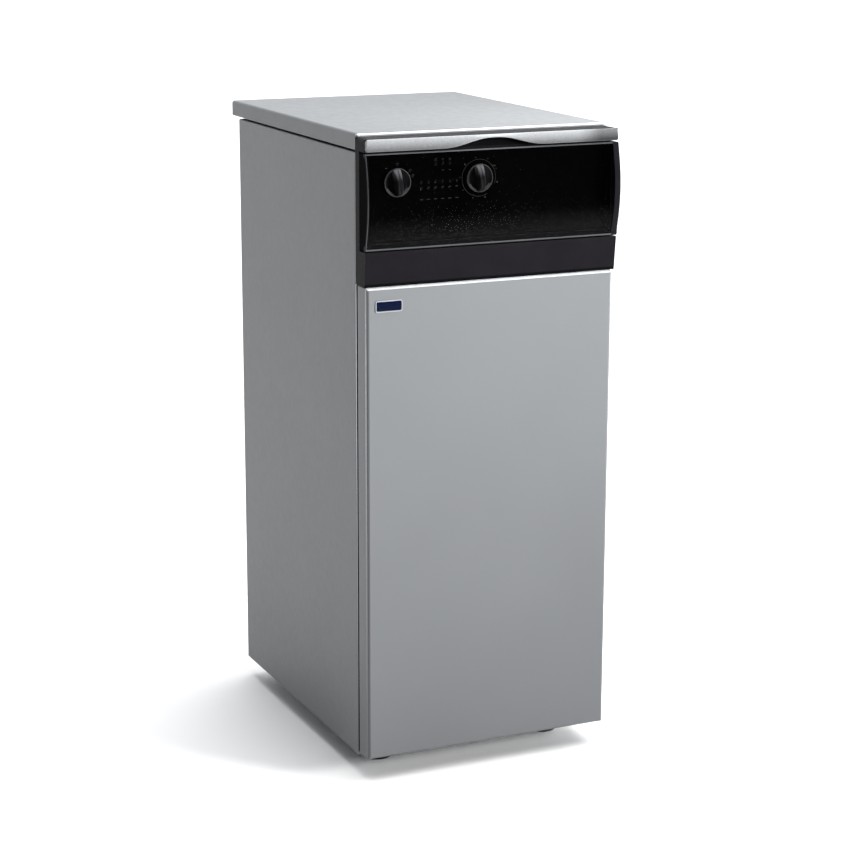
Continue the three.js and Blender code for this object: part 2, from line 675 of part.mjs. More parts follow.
// Gas pipe from the back of the casing along its right side, with one bend into the valve.
function gasSupplyPipe() {
  const { x, y, z, radius, bore, bend, end } = GAS_PIPE;
  const circle = new THREE.Shape();
  circle.absarc(0, 0, radius, 0, 2 * Math.PI);
  const path = new THREE.QuadraticBezierCurve3(
    new THREE.Vector3(x, y + bend, z),
    new THREE.Vector3(x, y, z),
    new THREE.Vector3(x - bend, y, z),
  );
  const elbow = new THREE.ExtrudeGeometry(circle, { steps: 4, curveSegments: 10, extrudePath: path });
  return cut(
    join(
      rod("y", radius, [y + bend - 0.3, end], [x, z], 10),
      elbow,
      rod("x", radius, [VALVE.right + 5 + GAP, x - bend + 0.3], [y, z], 10),
      rod("x", 14, [VALVE.right + 5 + GAP, VALVE.right + 13], [y, z], 6),
    ),
    rod("y", bore, [end - 30, end + 1], [x, z], 10),
  );
}

function waterPipe(port) {
  const start = SECTION.pitch * 1.5 + GAP;
  return cut(
    join(
      rod("y", port.pipe, [start, WATER_PIPE.end], [0, 0], 16),
      rod("y", port.nut, [start, start + 8], [0, 0], 6),
    ),
    rod("y", port.pipe - WATER_PIPE.wall, [start - 1, WATER_PIPE.end + 1], [0, 0], 12),
  );
}

function drainCock() {
  const face = -SECTION.pitch * 1.5 - GAP;
  return join(
    rod("y", 9, [face - 38, face], [0, 0], 16),
    rod("y", 12, [face - 6, face], [0, 0], 6),
    rod("z", 6, [-34, 0], [0, face - 28], 12),
    rod("z", 5, [0, 14], [0, face - 28], 12),
  );
}

// Quarter-turn lever, turning on the cock's stem.
function drainLever() {
  return join(rod("z", 7, [0, 5], [0, 0], 16), block([-34, 0], [-5, 5], [0.5, 4.5]));
}

// ---------------------------------------------------------------- materials

const finish = (color, roughness, metalness, more = {}) =>
  new THREE.MeshStandardMaterial({ color, roughness, metalness, ...more });

const MATERIAL = {
  silverPaint: finish(0x9a9c9f, 0.45, 0.35),
  zinc: finish(0xaeb2b5, 0.4, 0.8),
  charcoal: finish(0x2c2b2e, 0.55, 0),
  blackGloss: finish(0x070808, 0.12, 0),
  trim: finish(0xb9babd, 0.35, 0.6),
  badge: finish(0x1b2f5c, 0.3, 0),
  castIron: finish(0x3a3836, 0.8, 0.4),
  wool: finish(0xb6b2a4, 0.95, 0),
  stainless: finish(0xb3b2ad, 0.35, 0.9),
  brass: finish(0xb48c3c, 0.35, 0.9),
  blackPlastic: finish(0x161617, 0.5, 0),
  greyPlastic: finish(0x77797c, 0.6, 0),
  board: finish(0x1d5a36, 0.6, 0),
  ceramic: finish(0xe6e1d6, 0.5, 0),
  glass: finish(0xc8d8d4, 0.05, 0, { transparent: true, opacity: 0.4 }),
  gasPaint: finish(0x8f9093, 0.5, 0.6),
  clear: finish(0xdfe4e6, 0.2, 0),
};

// ---------------------------------------------------------------- assembly

const boiler = new THREE.Group();

function part(group, name, geometry, material, [x, y, z] = [0, 0, 0]) {
  const mesh = new THREE.Mesh(geometry, material);
  mesh.name = name;
  mesh.position.set(x, y, z);
  group.add(mesh);
}

function subassembly(build) {
  const group = new THREE.Group();
  build((...args) => part(group, ...args));
  boiler.add(group);
}

subassembly((add) => {
  add("side_panel_left", sidePanel(-1), MATERIAL.silverPaint);
  add("side_panel_right", sidePanel(1), MATERIAL.silverPaint);
  add("rear_panel", rearPanel(), MATERIAL.zinc);
  add("base_frame", baseFrame(), MATERIAL.zinc);
  add("upper_crossmember", upperCrossmember(), MATERIAL.zinc);
  add("lid", lid(), MATERIAL.silverPaint);
  add("front_door", frontDoor(), MATERIAL.silverPaint);
  add("door_badge", doorBadge(), MATERIAL.badge, [BADGE.x, 0, BADGE.z]);
  const corners = ["front_left", "front_right", "rear_left", "rear_right"];
  footPlaces().forEach(([x, y], i) =>
    add(`levelling_foot_${corners[i]}`, levellingFoot(), MATERIAL.zinc, [x, y, 0]),
  );
  for (const [side, label] of [[-1, "left"], [1, "right"]]) {
    add(`door_stud_${label}`, doorStud(), MATERIAL.zinc, [side * STUD.x, 0, STUD.z]);
    add(`door_clip_${label}`, doorClip(), MATERIAL.zinc, [side * STUD.x, 0, STUD.z]);
  }
});

subassembly((add) => {
  add("fascia_frame", fasciaFrame(), MATERIAL.charcoal);
  add("trim_bar", trimBar(), MATERIAL.trim);
  add("control_plate", controlPlate(), MATERIAL.blackGloss);
  add("flap", flap(), MATERIAL.blackGloss);
  add("light_guide", lightGuide(), MATERIAL.clear);
  add("selector_knob", controlKnob(), MATERIAL.blackPlastic, [SELECTOR_X, 0, KNOB_HEIGHT]);
  add("thermostat_knob", controlKnob(), MATERIAL.blackPlastic, [THERMOSTAT_X, 0, KNOB_HEIGHT]);
  add("selector_switch", selectorSwitch(), MATERIAL.greyPlastic, [SELECTOR_X, 0, KNOB_HEIGHT]);
  add("thermostat_body", thermostatBody(), MATERIAL.zinc, [THERMOSTAT_X, 0, KNOB_HEIGHT]);
  add("control_box", controlBox(), MATERIAL.greyPlastic);
  add("circuit_board", circuitBoard(), MATERIAL.board);
  add("cable_gland", cableGland(), MATERIAL.blackPlastic, [120, 0, 720]);
});

subassembly((add) => {
  const sections = [
    ["front_section", { front: false, rear: true }],
    ["middle_section", { front: true, rear: true }],
    ["rear_section", { front: true, rear: false }],
  ];
  sections.forEach(([name, open], i) =>
    add(name, castSection(open), MATERIAL.castIron, [0, SECTION.firstY + SECTION.pitch * i, 0]),
  );
  const joints = [["front", -SECTION.pitch / 2], ["rear", SECTION.pitch / 2]];
  for (const [label, y] of joints) {
    add(`upper_nipple_${label}`, nipple(UPPER_PORT), MATERIAL.zinc, [UPPER_PORT.x, y, UPPER_PORT.z]);
    add(`lower_nipple_${label}`, nipple(LOWER_PORT), MATERIAL.zinc, [LOWER_PORT.x, y, LOWER_PORT.z]);
  }
  for (const [side, label] of [[-1, "left"], [1, "right"]]) {
    add(`tie_rod_lower_${label}`, tieRod(), MATERIAL.zinc, [side * TIE_ROD.x, 0, TIE_ROD.lowZ]);
    add(`tie_rod_upper_${label}`, tieRod(), MATERIAL.zinc, [side * TIE_ROD.x, 0, TIE_ROD.highZ]);
  }
  add("insulation_jacket", insulationJacket(), MATERIAL.wool);
  add("flue_collector", flueCollector(), MATERIAL.stainless);
  add("draught_diverter", draughtDiverter(), MATERIAL.stainless);
});

subassembly((add) => {
  BURNER_X.forEach((x, i) => {
    add(`burner_bar_${i + 1}`, burnerBar(), MATERIAL.stainless, [x, 0, 0]);
    add(`injector_${i + 1}`, injector(), MATERIAL.brass, [x, 0, BURNER.boreZ]);
  });
  add("burner_support", burnerSupport(), MATERIAL.stainless);
  add("burner_plate", burnerPlate(), MATERIAL.zinc);
  add("sight_glass", sightGlass(), MATERIAL.glass, [0, 0, SIGHT.z]);
  add("ignition_electrode", electrode(), MATERIAL.ceramic, [-ELECTRODE.x, 0, ELECTRODE.z]);
  add("flame_sensor", electrode(), MATERIAL.ceramic, [ELECTRODE.x, 0, ELECTRODE.z]);
  add("gas_manifold", gasManifold(), MATERIAL.gasPaint);
  add("gas_valve", gasValve(), MATERIAL.gasPaint);
  add("gas_supply_pipe", gasSupplyPipe(), MATERIAL.gasPaint);
});

subassembly((add) => {
  add("flow_pipe", waterPipe(UPPER_PORT), MATERIAL.brass, [UPPER_PORT.x, 0, UPPER_PORT.z]);
  add("return_pipe", waterPipe(LOWER_PORT), MATERIAL.brass, [LOWER_PORT.x, 0, LOWER_PORT.z]);
  add("drain_cock", drainCock(), MATERIAL.brass, [LOWER_PORT.x, 0, LOWER_PORT.z]);
  add("drain_lever", drainLever(), MATERIAL.blackPlastic, [LOWER_PORT.x, -178.3, LOWER_PORT.z + 14.3]);
});

export default boiler;
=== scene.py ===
"""Looks of a slim floor-standing gas boiler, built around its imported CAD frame.

Lengths in the helpers are millimetres in the part's own frame: +Z up, the front towards -Y.
"""
import json
import math

import bmesh
import bpy
from mathutils import Matrix, Vector, noise


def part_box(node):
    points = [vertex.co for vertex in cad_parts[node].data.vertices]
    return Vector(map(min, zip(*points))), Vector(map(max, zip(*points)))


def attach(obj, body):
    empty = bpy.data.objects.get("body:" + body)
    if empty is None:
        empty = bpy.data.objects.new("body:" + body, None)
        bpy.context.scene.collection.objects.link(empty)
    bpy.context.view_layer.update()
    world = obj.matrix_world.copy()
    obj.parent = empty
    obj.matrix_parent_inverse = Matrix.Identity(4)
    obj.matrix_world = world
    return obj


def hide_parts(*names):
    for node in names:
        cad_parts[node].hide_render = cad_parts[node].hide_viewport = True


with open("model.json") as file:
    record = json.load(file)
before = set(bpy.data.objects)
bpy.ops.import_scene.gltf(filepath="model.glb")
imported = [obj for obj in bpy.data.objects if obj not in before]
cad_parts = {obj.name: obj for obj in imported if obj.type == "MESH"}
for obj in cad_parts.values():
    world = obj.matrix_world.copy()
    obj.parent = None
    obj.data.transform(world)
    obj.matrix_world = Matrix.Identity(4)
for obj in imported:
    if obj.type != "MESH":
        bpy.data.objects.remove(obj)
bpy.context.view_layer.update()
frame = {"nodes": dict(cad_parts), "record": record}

MM = 0.001
NODES = frame["nodes"]
BEHAVIOUR = frame["record"]["behaviour"]
BODY_OF = {node: body for body, members in BEHAVIOUR["bodies"].items() for node in members}
SLOT_OF = {row["node"]: row["material_slot"] for row in frame["record"]["subparts"]}


def limits(node):
    """A node's lowest and highest corner, in millimetres."""
    return [[round(value / MM, 3) for value in corner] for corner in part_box(node)]


# ---------------------------------------------------------------- finishes


class Finish:
    """A principled material whose colour, roughness and relief come from textures in object space."""

    def __init__(self, name, **sockets):
        self.material = bpy.data.materials.new(name)
        self.material.use_nodes = True
        self.tree = self.material.node_tree
        self.shader = self.tree.nodes["Principled BSDF"]
        for socket, value in sockets.items():
            self.shader.inputs[socket.replace("_", " ")].default_value = value
        self.place = self.node("ShaderNodeTexCoord").outputs["Object"]

    def node(self, kind, inputs=None, **settings):
        made = self.tree.nodes.new(kind)
        for key, value in settings.items():
            setattr(made, key, value)
        for socket, value in (inputs or {}).items():
            self.feed(made.inputs[socket], value)
        return made

    def feed(self, socket, value):
        if isinstance(value, bpy.types.NodeSocket):
            self.tree.links.new(value, socket)
        else:
            socket.default_value = value

    def noise(self, size, detail=3.0, stretch=None):
        """Noise with features of about this size in millimetres."""
        place = self.place
        if stretch:
            place = self.node("ShaderNodeMapping", {"Vector": place, "Scale": stretch}).outputs["Vector"]
        inputs = {"Vector": place, "Scale": 1 / (size * MM), "Detail": detail}
        return self.node("ShaderNodeTexNoise", inputs).outputs["Fac"]

    def cells(self, size, output="Distance", feature="F1"):
        inputs = {"Vector": self.place, "Scale": 1 / (size * MM)}
        return self.node("ShaderNodeTexVoronoi", inputs, feature=feature).outputs[output]

    def level(self, value, low, high, start=0.3, end=0.7):
        """Spreads a texture's middle range over new limits."""
        inputs = {"Value": value, "From Min": start, "From Max": end, "To Min": low, "To Max": high}
        return self.node("ShaderNodeMapRange", inputs).outputs["Result"]

    def along(self, axis, start, end):
        """Goes from 0 to 1 between two places along an axis, in millimetres."""
        place = self.node("ShaderNodeSeparateXYZ", {"Vector": self.place}).outputs[axis]
        return self.level(place, 0, 1, start * MM, end * MM)

    def mix(self, amount, first, second):
        mixer = self.node("ShaderNodeMix", data_type="RGBA")
        for index, value in ((0, amount), (6, first), (7, second)):
            self.feed(mixer.inputs[index], value)
        return mixer.outputs[2]

    def edges(self, radius):
        """1 along convex and concave edges, 0 on flats."""
        rounded_normal = self.node("ShaderNodeBevel", {"Radius": radius * MM}, samples=4).outputs["Normal"]
        flat_normal = self.node("ShaderNodeNewGeometry").outputs["Normal"]
        product = self.node("ShaderNodeVectorMath", {0: rounded_normal, 1: flat_normal},
                            operation="DOT_PRODUCT")
        return self.level(product.outputs["Value"], 1, 0, 0.9, 0.995)

    def colour(self, value):
        self.feed(self.shader.inputs["Base Color"], value)
        return self

    def rough(self, value):
        self.feed(self.shader.inputs["Roughness"], value)
        return self

    def relief(self, *layers):
        """Bumps from (texture, depth in millimetres), laid over each other."""
        normal = None
        for height, depth in layers:
            bump = self.node("ShaderNodeBump", {"Height": height, "Distance": depth * MM, "Strength": 1.0})
            if normal:
                self.feed(bump.inputs["Normal"], normal)
            normal = bump.outputs["Normal"]
        self.feed(self.shader.inputs["Normal"], normal)
        return self


def grey(value, warm=0.0):
    return (value * (1 + warm), value, value * (1 - warm), 1.0)


def mottled(name, tones, spots, rough, grains, stains=(), **sockets):
    """Two tones in soft spots with stains over them, an uneven sheen and grains of relief.

    spots holds what noise() takes; rough adds its two limits to that, and each grain its depth.
    """
    f = Finish(name, **sockets)
    tone = f.mix(f.level(f.noise(*spots), 0, 1), *tones)
    for patches, spread, stain in stains:
        tone = f.mix(f.level(f.noise(*patches), 0, *spread), tone, stain)
    f.colour(tone)
    f.rough(f.level(f.noise(*rough[:-2]), *rough[-2:]))
    return f.relief(*[(f.noise(*size), depth) for *size, depth in grains]).material


def powder_coat(name="silver_powder_coat", tone=1.0, metallic=0.22):
    f = Finish(name, Metallic=metallic, Specular_IOR_Level=0.14)
    dark, pale, cloudy, bare = (grey(value * tone, -0.035) for value in (0.132, 0.170, 0.182, 0.30))
    flake = f.noise(0.5, 1)
    body = f.mix(f.level(flake, 0, 1), dark, pale)
    cloud = f.mix(f.level(f.noise(160, 3), 0, 0.2), body, cloudy)
    f.colour(f.mix(f.level(f.edges(1.2), 0, 0.4, 0, 1), cloud, bare))
    f.rough(f.level(f.noise(9, 4), 0.42, 0.48))
    return f.relief((f.noise(1.5, 2), 0.022), (flake, 0.008)).material


def fold_highlight_paint(name, tone=1.0):
    """A painted highlight: the paint lighter and more metallic over a folded edge, fading towards the floor.
    """
    f = Finish(name, Metallic=0.5)
    foot, dark, pale = (grey(value, -0.03) for value in (0.14, 0.62 * tone, 0.80 * tone))
    bright = f.mix(f.level(f.noise(2.5, 3), 0, 1), dark, pale)
    # the painted highlight fades out towards the floor
    f.colour(f.mix(f.along("Z", 60, 560), foot, bright))
    f.rough(f.level(f.noise(6, 4), 0.28, 0.40))
    return f.relief((f.noise(1.5, 2), 0.02)).material


def zinc():
    f = Finish("zinc_plate", Metallic=0.85)
    spangle = f.cells(9, "Color")
    tone = f.mix(f.level(spangle, 0, 1, 0, 1), (0.30, 0.315, 0.33, 1), (0.43, 0.445, 0.455, 1))
    f.colour(f.mix(f.level(f.noise(35, 5), 0, 0.35), tone, (0.25, 0.25, 0.245, 1)))
    f.rough(f.level(f.noise(5, 4), 0.30, 0.48))
    return f.relief((f.noise(2.5, 4), 0.02)).material


def moulding(name, tone, low, high, grain=0.05, wear=0.0, specular=0.5):
    """A moulded plastic with a spark-eroded grain."""
    f = Finish(name, Specular_IOR_Level=specular)
    base = f.mix(f.level(f.noise(30, 4), 0, 1), tone, [c * 1.25 for c in tone[:3]] + [1])
    if wear:
        base = f.mix(f.level(f.edges(0.8), 0, wear, 0, 1), base, [c * 3 + 0.01 for c in tone[:3]] + [1])
    f.colour(base)
    f.rough(f.level(f.noise(3, 5), low, high))
    return f.relief((f.noise(0.6, 2), grain)).material


def knob_grip(centre):
    """Black moulding with a painted highlight, lighter towards the grip's top end and along its edges."""
    f = Finish("knob_grip", Specular_IOR_Level=0.4)
    base = f.mix(f.along("Z", centre + 3, centre + 16), (0.006, 0.0056, 0.0062, 1), (0.19, 0.18, 0.195, 1))
    f.colour(f.mix(f.level(f.edges(0.35), 0, 0.5, 0, 1), base, (0.10, 0.095, 0.104, 1)))
    f.rough(f.level(f.noise(3, 5), 0.30, 0.40))
    return f.relief((f.noise(0.6, 2), 0.002)).material


def smoked():
    """The flap's dark clear plastic, with a painted reflection of the floor that lightens it along its foot.
    """
    f = Finish("smoked_flap", Specular_IOR_Level=0.02, Alpha=0.20)
    body = f.mix(f.level(f.noise(90, 3), 0, 1), *DEEP_BLACK)
    foot = limits("flap")[0][2]
    # painted reflection of the floor: lighter along the foot
    f.colour(f.mix(f.along("Z", foot + 14, foot + 42), grey(0.0098), body))
    f.rough(f.level(f.noise(22, 5), 0.09, 0.15))
    return f.relief((f.noise(60, 1), 0.01)).material


def silver_lacquer():
    """The bar's lacquer with painted light: a painted highlight towards its top edge and along its edges, and
    painted shade at its right end.
    """
    f = Finish("silver_lacquer", Metallic=0.3, Specular_IOR_Level=0.3)
    low, high = limits("trim_bar")
    flake = f.noise(0.8, 2)
    # painted highlight: lighter towards the top edge
    painted_top_light = f.along("Z", low[2] + 1, high[2] - 1)
    # painted shade: darker towards the right end
    painted_end_shade = f.along("X", high[0] - 58, high[0] - 26)

    def flaked(dull, bright):
        return f.mix(f.level(flake, 0, 1), grey(dull, -0.03), grey(bright, -0.03))

    dark = f.mix(painted_end_shade, flaked(0.055, 0.105), flaked(0.005, 0.026))
    light = f.mix(painted_end_shade, flaked(0.22, 0.37), flaked(0.075, 0.165))
    # painted highlight along the rounded edges
    f.colour(f.mix(f.level(f.edges(0.9), 0, 0.5, 0, 1), f.mix(painted_top_light, dark, light), grey(0.75)))
    f.rough(f.level(f.noise(4, 4), 0.30, 0.42))
    return f.relief((flake, 0.012), (f.noise(3, 2), 0.02)).material


def foil():
    f = Finish("aluminium_foil", Metallic=0.95)
    crease = f.cells(16, "Distance", "DISTANCE_TO_EDGE")
    f.colour(f.mix(f.level(f.noise(25, 4), 0, 1), grey(0.60), grey(0.78)))
    f.rough(f.level(f.noise(8, 5), 0.22, 0.42))
    return f.relief((f.level(crease, 0, 1, 0, 0.12), 0.25), (f.noise(11, 6), 0.9)).material


def clear(name, tone, alpha):
    shaded = [c * 0.85 for c in tone[:3]] + [1]
    return mottled(name, (tone, shaded), (12, 3), (5, 4, 0.05, 0.14), [(4, 2, 0.01)], Alpha=alpha)


DEEP_BLACK = grey(0.0004), grey(0.0008)


PAINT = powder_coat()
# painted highlights for folded edges
FOLD_HIGHLIGHT = fold_highlight_paint("silver_fold_painted_highlight")
FOLD_SOFT_HIGHLIGHT = fold_highlight_paint("silver_door_fold_painted_highlight", 0.5)
LID_PAINT = powder_coat("silver_lid", 1.0, 0.06)
# a darker copy of the paint: painted shade beside a fold
FOLD_SHADE = powder_coat("silver_fold_painted_shade", 0.62)
ZINC = zinc()
CHARCOAL = moulding("charcoal_moulding", (0.0052, 0.0047, 0.0058, 1), 0.50, 0.64, 0.05, 0.7, 0.05)
# lighter moulding for the painted highlight along the flap's edges and lip
FLAP_EDGE_HIGHLIGHT = moulding("flap_edge_painted_highlight", (0.028, 0.030, 0.032, 1), 0.25, 0.40, 0.01)
# black moulding, also used for painted shade in gaps and recesses
SHADE = moulding("black_return_and_painted_shade", (0.0022, 0.0022, 0.0025, 1), 0.6, 0.75, 0.03, 0, 0.004)
FACE = mottled("printed_black_face", DEEP_BLACK, (60, 3), (14, 5, 0.16, 0.26), [(1.2, 2, 0.006)],
               Specular_IOR_Level=0.03)
SMOKED = smoked()
TRIM = silver_lacquer()
ENAMEL = mottled("blue_enamel", ((0.0005, 0.0024, 0.0108, 1), (0.0009, 0.0034, 0.0150, 1)), (4, 3),
                 (1.5, 3, 0.25, 0.38), [(1.1, 2, 0.008)],
                 Specular_IOR_Level=0.12, Coat_Weight=0.04, Coat_Roughness=0.08)
BORDER = moulding("badge_border", (0.23, 0.24, 0.26, 1), 0.30, 0.42, 0.004)
KNOB = moulding("knob_moulding", (0.0050, 0.0046, 0.0052, 1), 0.30, 0.38, 0.002, 0, 0.15)
# lighter moulding for painted highlights on the knob's rim and dish
KNOB_HIGHLIGHT = moulding("knob_painted_highlight", (0.056, 0.052, 0.058, 1), 0.30, 0.38, 0.002, 0, 0.5)
PRINT = moulding("grey_print", (0.0165, 0.0165, 0.0178, 1), 0.45, 0.6, 0.004)
GREY = moulding("grey_moulding", (0.17, 0.175, 0.18, 1), 0.5, 0.65, 0.06)
BLACK = moulding("black_nylon", (0.014, 0.014, 0.015, 1), 0.42, 0.58, 0.06)
BOARD = moulding("solder_mask", (0.016, 0.10, 0.042, 1), 0.28, 0.42, 0.03)
IRON = mottled("cast_iron", ((0.030, 0.030, 0.031, 1), (0.062, 0.058, 0.054, 1)), (22, 5),
               (1.6, 6, 0.62, 0.9), [(1.6, 6, 0.35), (9, 4, 0.5)],
               [((48, 7), (0.75, 0.56, 0.72), (0.115, 0.052, 0.026, 1))], Metallic=0.45)
WOOL = mottled("mineral_wool", ((0.34, 0.31, 0.22, 1), (0.62, 0.58, 0.46, 1)), (1.1, 8, (1, 0.18, 1)),
               (6, 4, 0.85, 1.0), [(1.1, 8, (1, 0.18, 1), 0.7), (7, 5, 1.2)], Sheen_Weight=0.15)
FOIL = foil()
HOOD = mottled("aluminised_sheet", ((0.38, 0.38, 0.37, 1), (0.56, 0.56, 0.55, 1)), (55, 6),
               (3, 5, (1, 6, 6), 0.34, 0.52), [(1.4, 4, 0.03), (60, 3, 0.4)],
               [((28, 5, (1, 1, 0.25)), (0.5, 0.5, 0.75), (0.34, 0.29, 0.23, 1))], Metallic=0.8)
BURNER = mottled("heat_tinted_stainless", ((0.42, 0.41, 0.39, 1), (0.58, 0.57, 0.55, 1)), (6, 4, (6, 1, 1)),
                 (4, 5, 0.26, 0.44), [(2, 4, 0.04)],
                 [((30, 4), (0.9, 0.4, 0.65), (0.36, 0.24, 0.13, 1)),
                  ((18, 3), (0.7, 0.55, 0.72), (0.10, 0.12, 0.20, 1))], Metallic=0.9)
BRASS = mottled("turned_brass", ((0.43, 0.28, 0.09, 1), (0.60, 0.42, 0.16, 1)), (10, 5),
                (2, 4, 0.24, 0.42), [(0.8, 3, (1, 8, 1), 0.03)],
                [((4, 5), (0.5, 0.55, 0.75), (0.20, 0.13, 0.06, 1))], Metallic=0.95)
ALLOY = mottled("cast_alloy", ((0.36, 0.37, 0.38, 1), (0.50, 0.51, 0.52, 1)), (7, 5),
                (2, 5, 0.42, 0.6), [(0.9, 4, 0.08)], Metallic=0.75)
TUBE = mottled("drawn_steel_tube", ((0.20, 0.20, 0.21, 1), (0.34, 0.34, 0.35, 1)), (12, 5, (1, 0.2, 1)),
               (3, 4, 0.36, 0.55), [(1.6, 4, (1, 0.3, 1), 0.05)],
               [((26, 6), (0.55, 0.58, 0.76), (0.17, 0.09, 0.05, 1))], Metallic=0.8)
CERAMIC = mottled("glazed_ceramic", ((0.72, 0.68, 0.58, 1), (0.84, 0.81, 0.74, 1)), (9, 4),
                  (2, 3, 0.22, 0.38), [(1.8, 3, 0.03)], Coat_Weight=0.4, Coat_Roughness=0.1)
LENS = clear("clear_moulding", (0.023, 0.024, 0.026, 1), 0.55)
GLASS = clear("heat_proof_glass", (0.62, 0.72, 0.70, 1), 0.35)

FINISH_OF_SLOT = {
    "silver_paint": PAINT, "zinc_sheet": ZINC, "charcoal_plastic": CHARCOAL, "smoked_flap": SMOKED,
    "control_face": FACE, "trim_silver": TRIM, "badge_blue": ENAMEL, "knob_black": KNOB,
    "clear_plastic": LENS, "grey_plastic": GREY, "black_plastic": BLACK, "circuit_green": BOARD,
    "cast_iron": IRON, "wool": WOOL, "hood_steel": HOOD, "burner_steel": BURNER, "brass": BRASS,
    "gas_alloy": ALLOY, "steel_pipe": TUBE, "ceramic": CERAMIC, "glass": GLASS,
}

# ---------------------------------------------------------------- shapes

PLANE = {"x": (1, 2, 0), "y": (0, 2, 1), "z": (0, 1, 2)}  # the two axes across each axis, then itself
SHEET_METAL = 1.0  # thickness of the casing's folded sheets


def spot(axis, u, v, w):
    """A point from its two places across an axis and its place along it."""
    place = [0.0, 0.0, 0.0]
    for index, value in zip(PLANE[axis], (u, v, w)):
        place[index] = value * MM
    return Vector(place)


def loft(bm, rings, closed=False, material=0):
    """Skins a row of equal rings, with a flat cap at each end unless the row closes on itself."""
    rows = [[bm.verts.new(place) for place in ring] for ring in rings]
    pairs = list(zip(rows, rows[1:])) + ([(rows[-1], rows[0])] if closed else [])
    faces = []
    for low, high in pairs:
        for i in range(len(low)):
            j = (i + 1) % len(low)
            faces.append(bm.faces.new((low[i], low[j], high[j], high[i])))
    if not closed:
        faces += [bm.faces.new(rows[0][::-1]), bm.faces.new(rows[-1])]
    for face in faces:
        face.material_index = material
    return faces


def circle(radius, sides=32, centre=(0, 0), turn=0.0):
    angles = [turn + 2 * math.pi * i / sides for i in range(sides)]
    return [(centre[0] + radius * math.cos(a), centre[1] + radius * math.sin(a)) for a in angles]


def rounded(low, high, radius, steps=5):
    """A rectangle with rounded corners, as points."""
    radius = max(radius, 0.05)
    corners = [(high[0] - radius, high[1] - radius), (low[0] + radius, high[1] - radius),
               (low[0] + radius, low[1] + radius), (high[0] - radius, low[1] + radius)]
    points = []
    for quarter, (u, v) in enumerate(corners):
        for step in range(steps + 1):
            angle = (quarter + step / steps) * math.pi / 2
            points.append((u + radius * math.cos(angle), v + radius * math.sin(angle)))
    return points


def prism(bm, axis, outline, low, high, material=0):
    return loft(bm, [[spot(axis, u, v, w) for u, v in outline] for w in (low, high)], material=material)


def block(bm, low, high, material=0):
    """A box from its lowest to its highest corner."""
    return prism(bm, "z", [(low[0], low[1]), (high[0], low[1]), (high[0], high[1]), (low[0], high[1])],
                 low[2], high[2], material)


def lathe(bm, axis, centre, profile, sides=32, closed=False, material=0):
    """Turns a profile of (radius, place along the axis)."""
    rings = [[spot(axis, u, v, w) for u, v in circle(r, sides, centre)] for r, w in profile]
    return loft(bm, rings, closed, material)


def nut(bm, axis, centre, low, high, radius, material=0):
    """A hexagon with chamfered ends."""
    chamfer = min(1.0, (high - low) / 4)
    lathe(bm, axis, centre, [(radius * 0.93, low), (radius, low + chamfer), (radius, high - chamfer),
                             (radius * 0.93, high)], 6, material=material)


def thread(radius, low, high, pitch=1.5, depth=0.6):
    """Profile of a thread as a row of ridges."""
    count = max(2, round((high - low) / pitch * 2))
    return [(radius - (depth if i % 2 else 0), low + (high - low) * i / count) for i in range(count + 1)]


def screw(bm, axis, centre, seat, outward, radius=4.2, material=0):
    """Flanged hexagon screw head standing off a face at seat."""
    lathe(bm, axis, centre, [(radius, seat - 0.2 * outward), (radius, seat + 0.6 * outward),
                             (radius * 0.86, seat + 1.0 * outward)], 20, material=material)
    lathe(bm, axis, centre, [(radius * 0.68, seat), (radius * 0.68, seat + 2.6 * outward),
                             (radius * 0.56, seat + 3.1 * outward)], 6, material=material)


def inset_ring(axis, low, high, inset, radius, w, steps=5):
    """A rounded rectangle drawn in by inset, as a ring at w along the axis."""
    outline = rounded([c + inset for c in low], [c - inset for c in high], radius, steps)
    return [spot(axis, u, v, w) for u, v in outline]


def quarter(steps, first=0):
    """Even angles up to a quarter turn."""
    return [math.pi / 2 * i / steps for i in range(first, steps + 1)]


def from_level(level, *profile):
    """A lathe profile whose places are counted from a level."""
    return [(radius, level + w) for radius, w in profile]


def swell(bm, axis, stages, steps=4, material=0):
    """A rounded bar raised off a face, from (low, high, corner radius, height) of each stage."""
    loft(bm, [inset_ring(axis, low, high, 0, radius, w, steps) for low, high, radius, w in stages],
         material=material)


def tray(bm, axis, low, high, open_end, face_end, corner, fold, lip=0.0, steps=5, painted_light=None):
    """A folded tray: a face, walls back to the open end and, with a lip, a flange turned in along it.

    The last argument gives the finish of each face of the outer fold, from its middle and its place in the
    fold: painted highlights and painted shade along the fold.
    """
    toward = 1 if face_end > open_end else -1

    def ring(inset, w):
        return inset_ring(axis, low, high, inset, max(corner - inset, 0.4), w)

    def side(depth):
        """Rings of one surface, this depth inside the outer one, from the open end to the face."""
        if lip:
            bend = 2.0 - depth * 0.8
            rings = [ring(lip, open_end + toward * depth)]
            rings += [ring(depth + bend * (1 - math.sin(a)),
                           open_end + toward * (depth + bend * (1 - math.cos(a)))) for a in quarter(4)]
        else:
            rings = [ring(depth, open_end)]
        turn = fold - depth
        rings += [ring(depth + turn * (1 - math.cos(a)),
                       face_end - toward * (depth + turn * (1 - math.sin(a)))) for a in quarter(steps)]
        return rings

    inner, outer = side(SHEET_METAL), side(0.0)
    faces = loft(bm, inner[::-1] + outer)
    if painted_light:
        size, first = len(outer[0]), len(inner) + len(outer) - steps - 1
        for index, face in enumerate(faces[size * first:size * (first + steps)]):
            face.material_index = painted_light(face.calc_center_median() / MM, index // size)


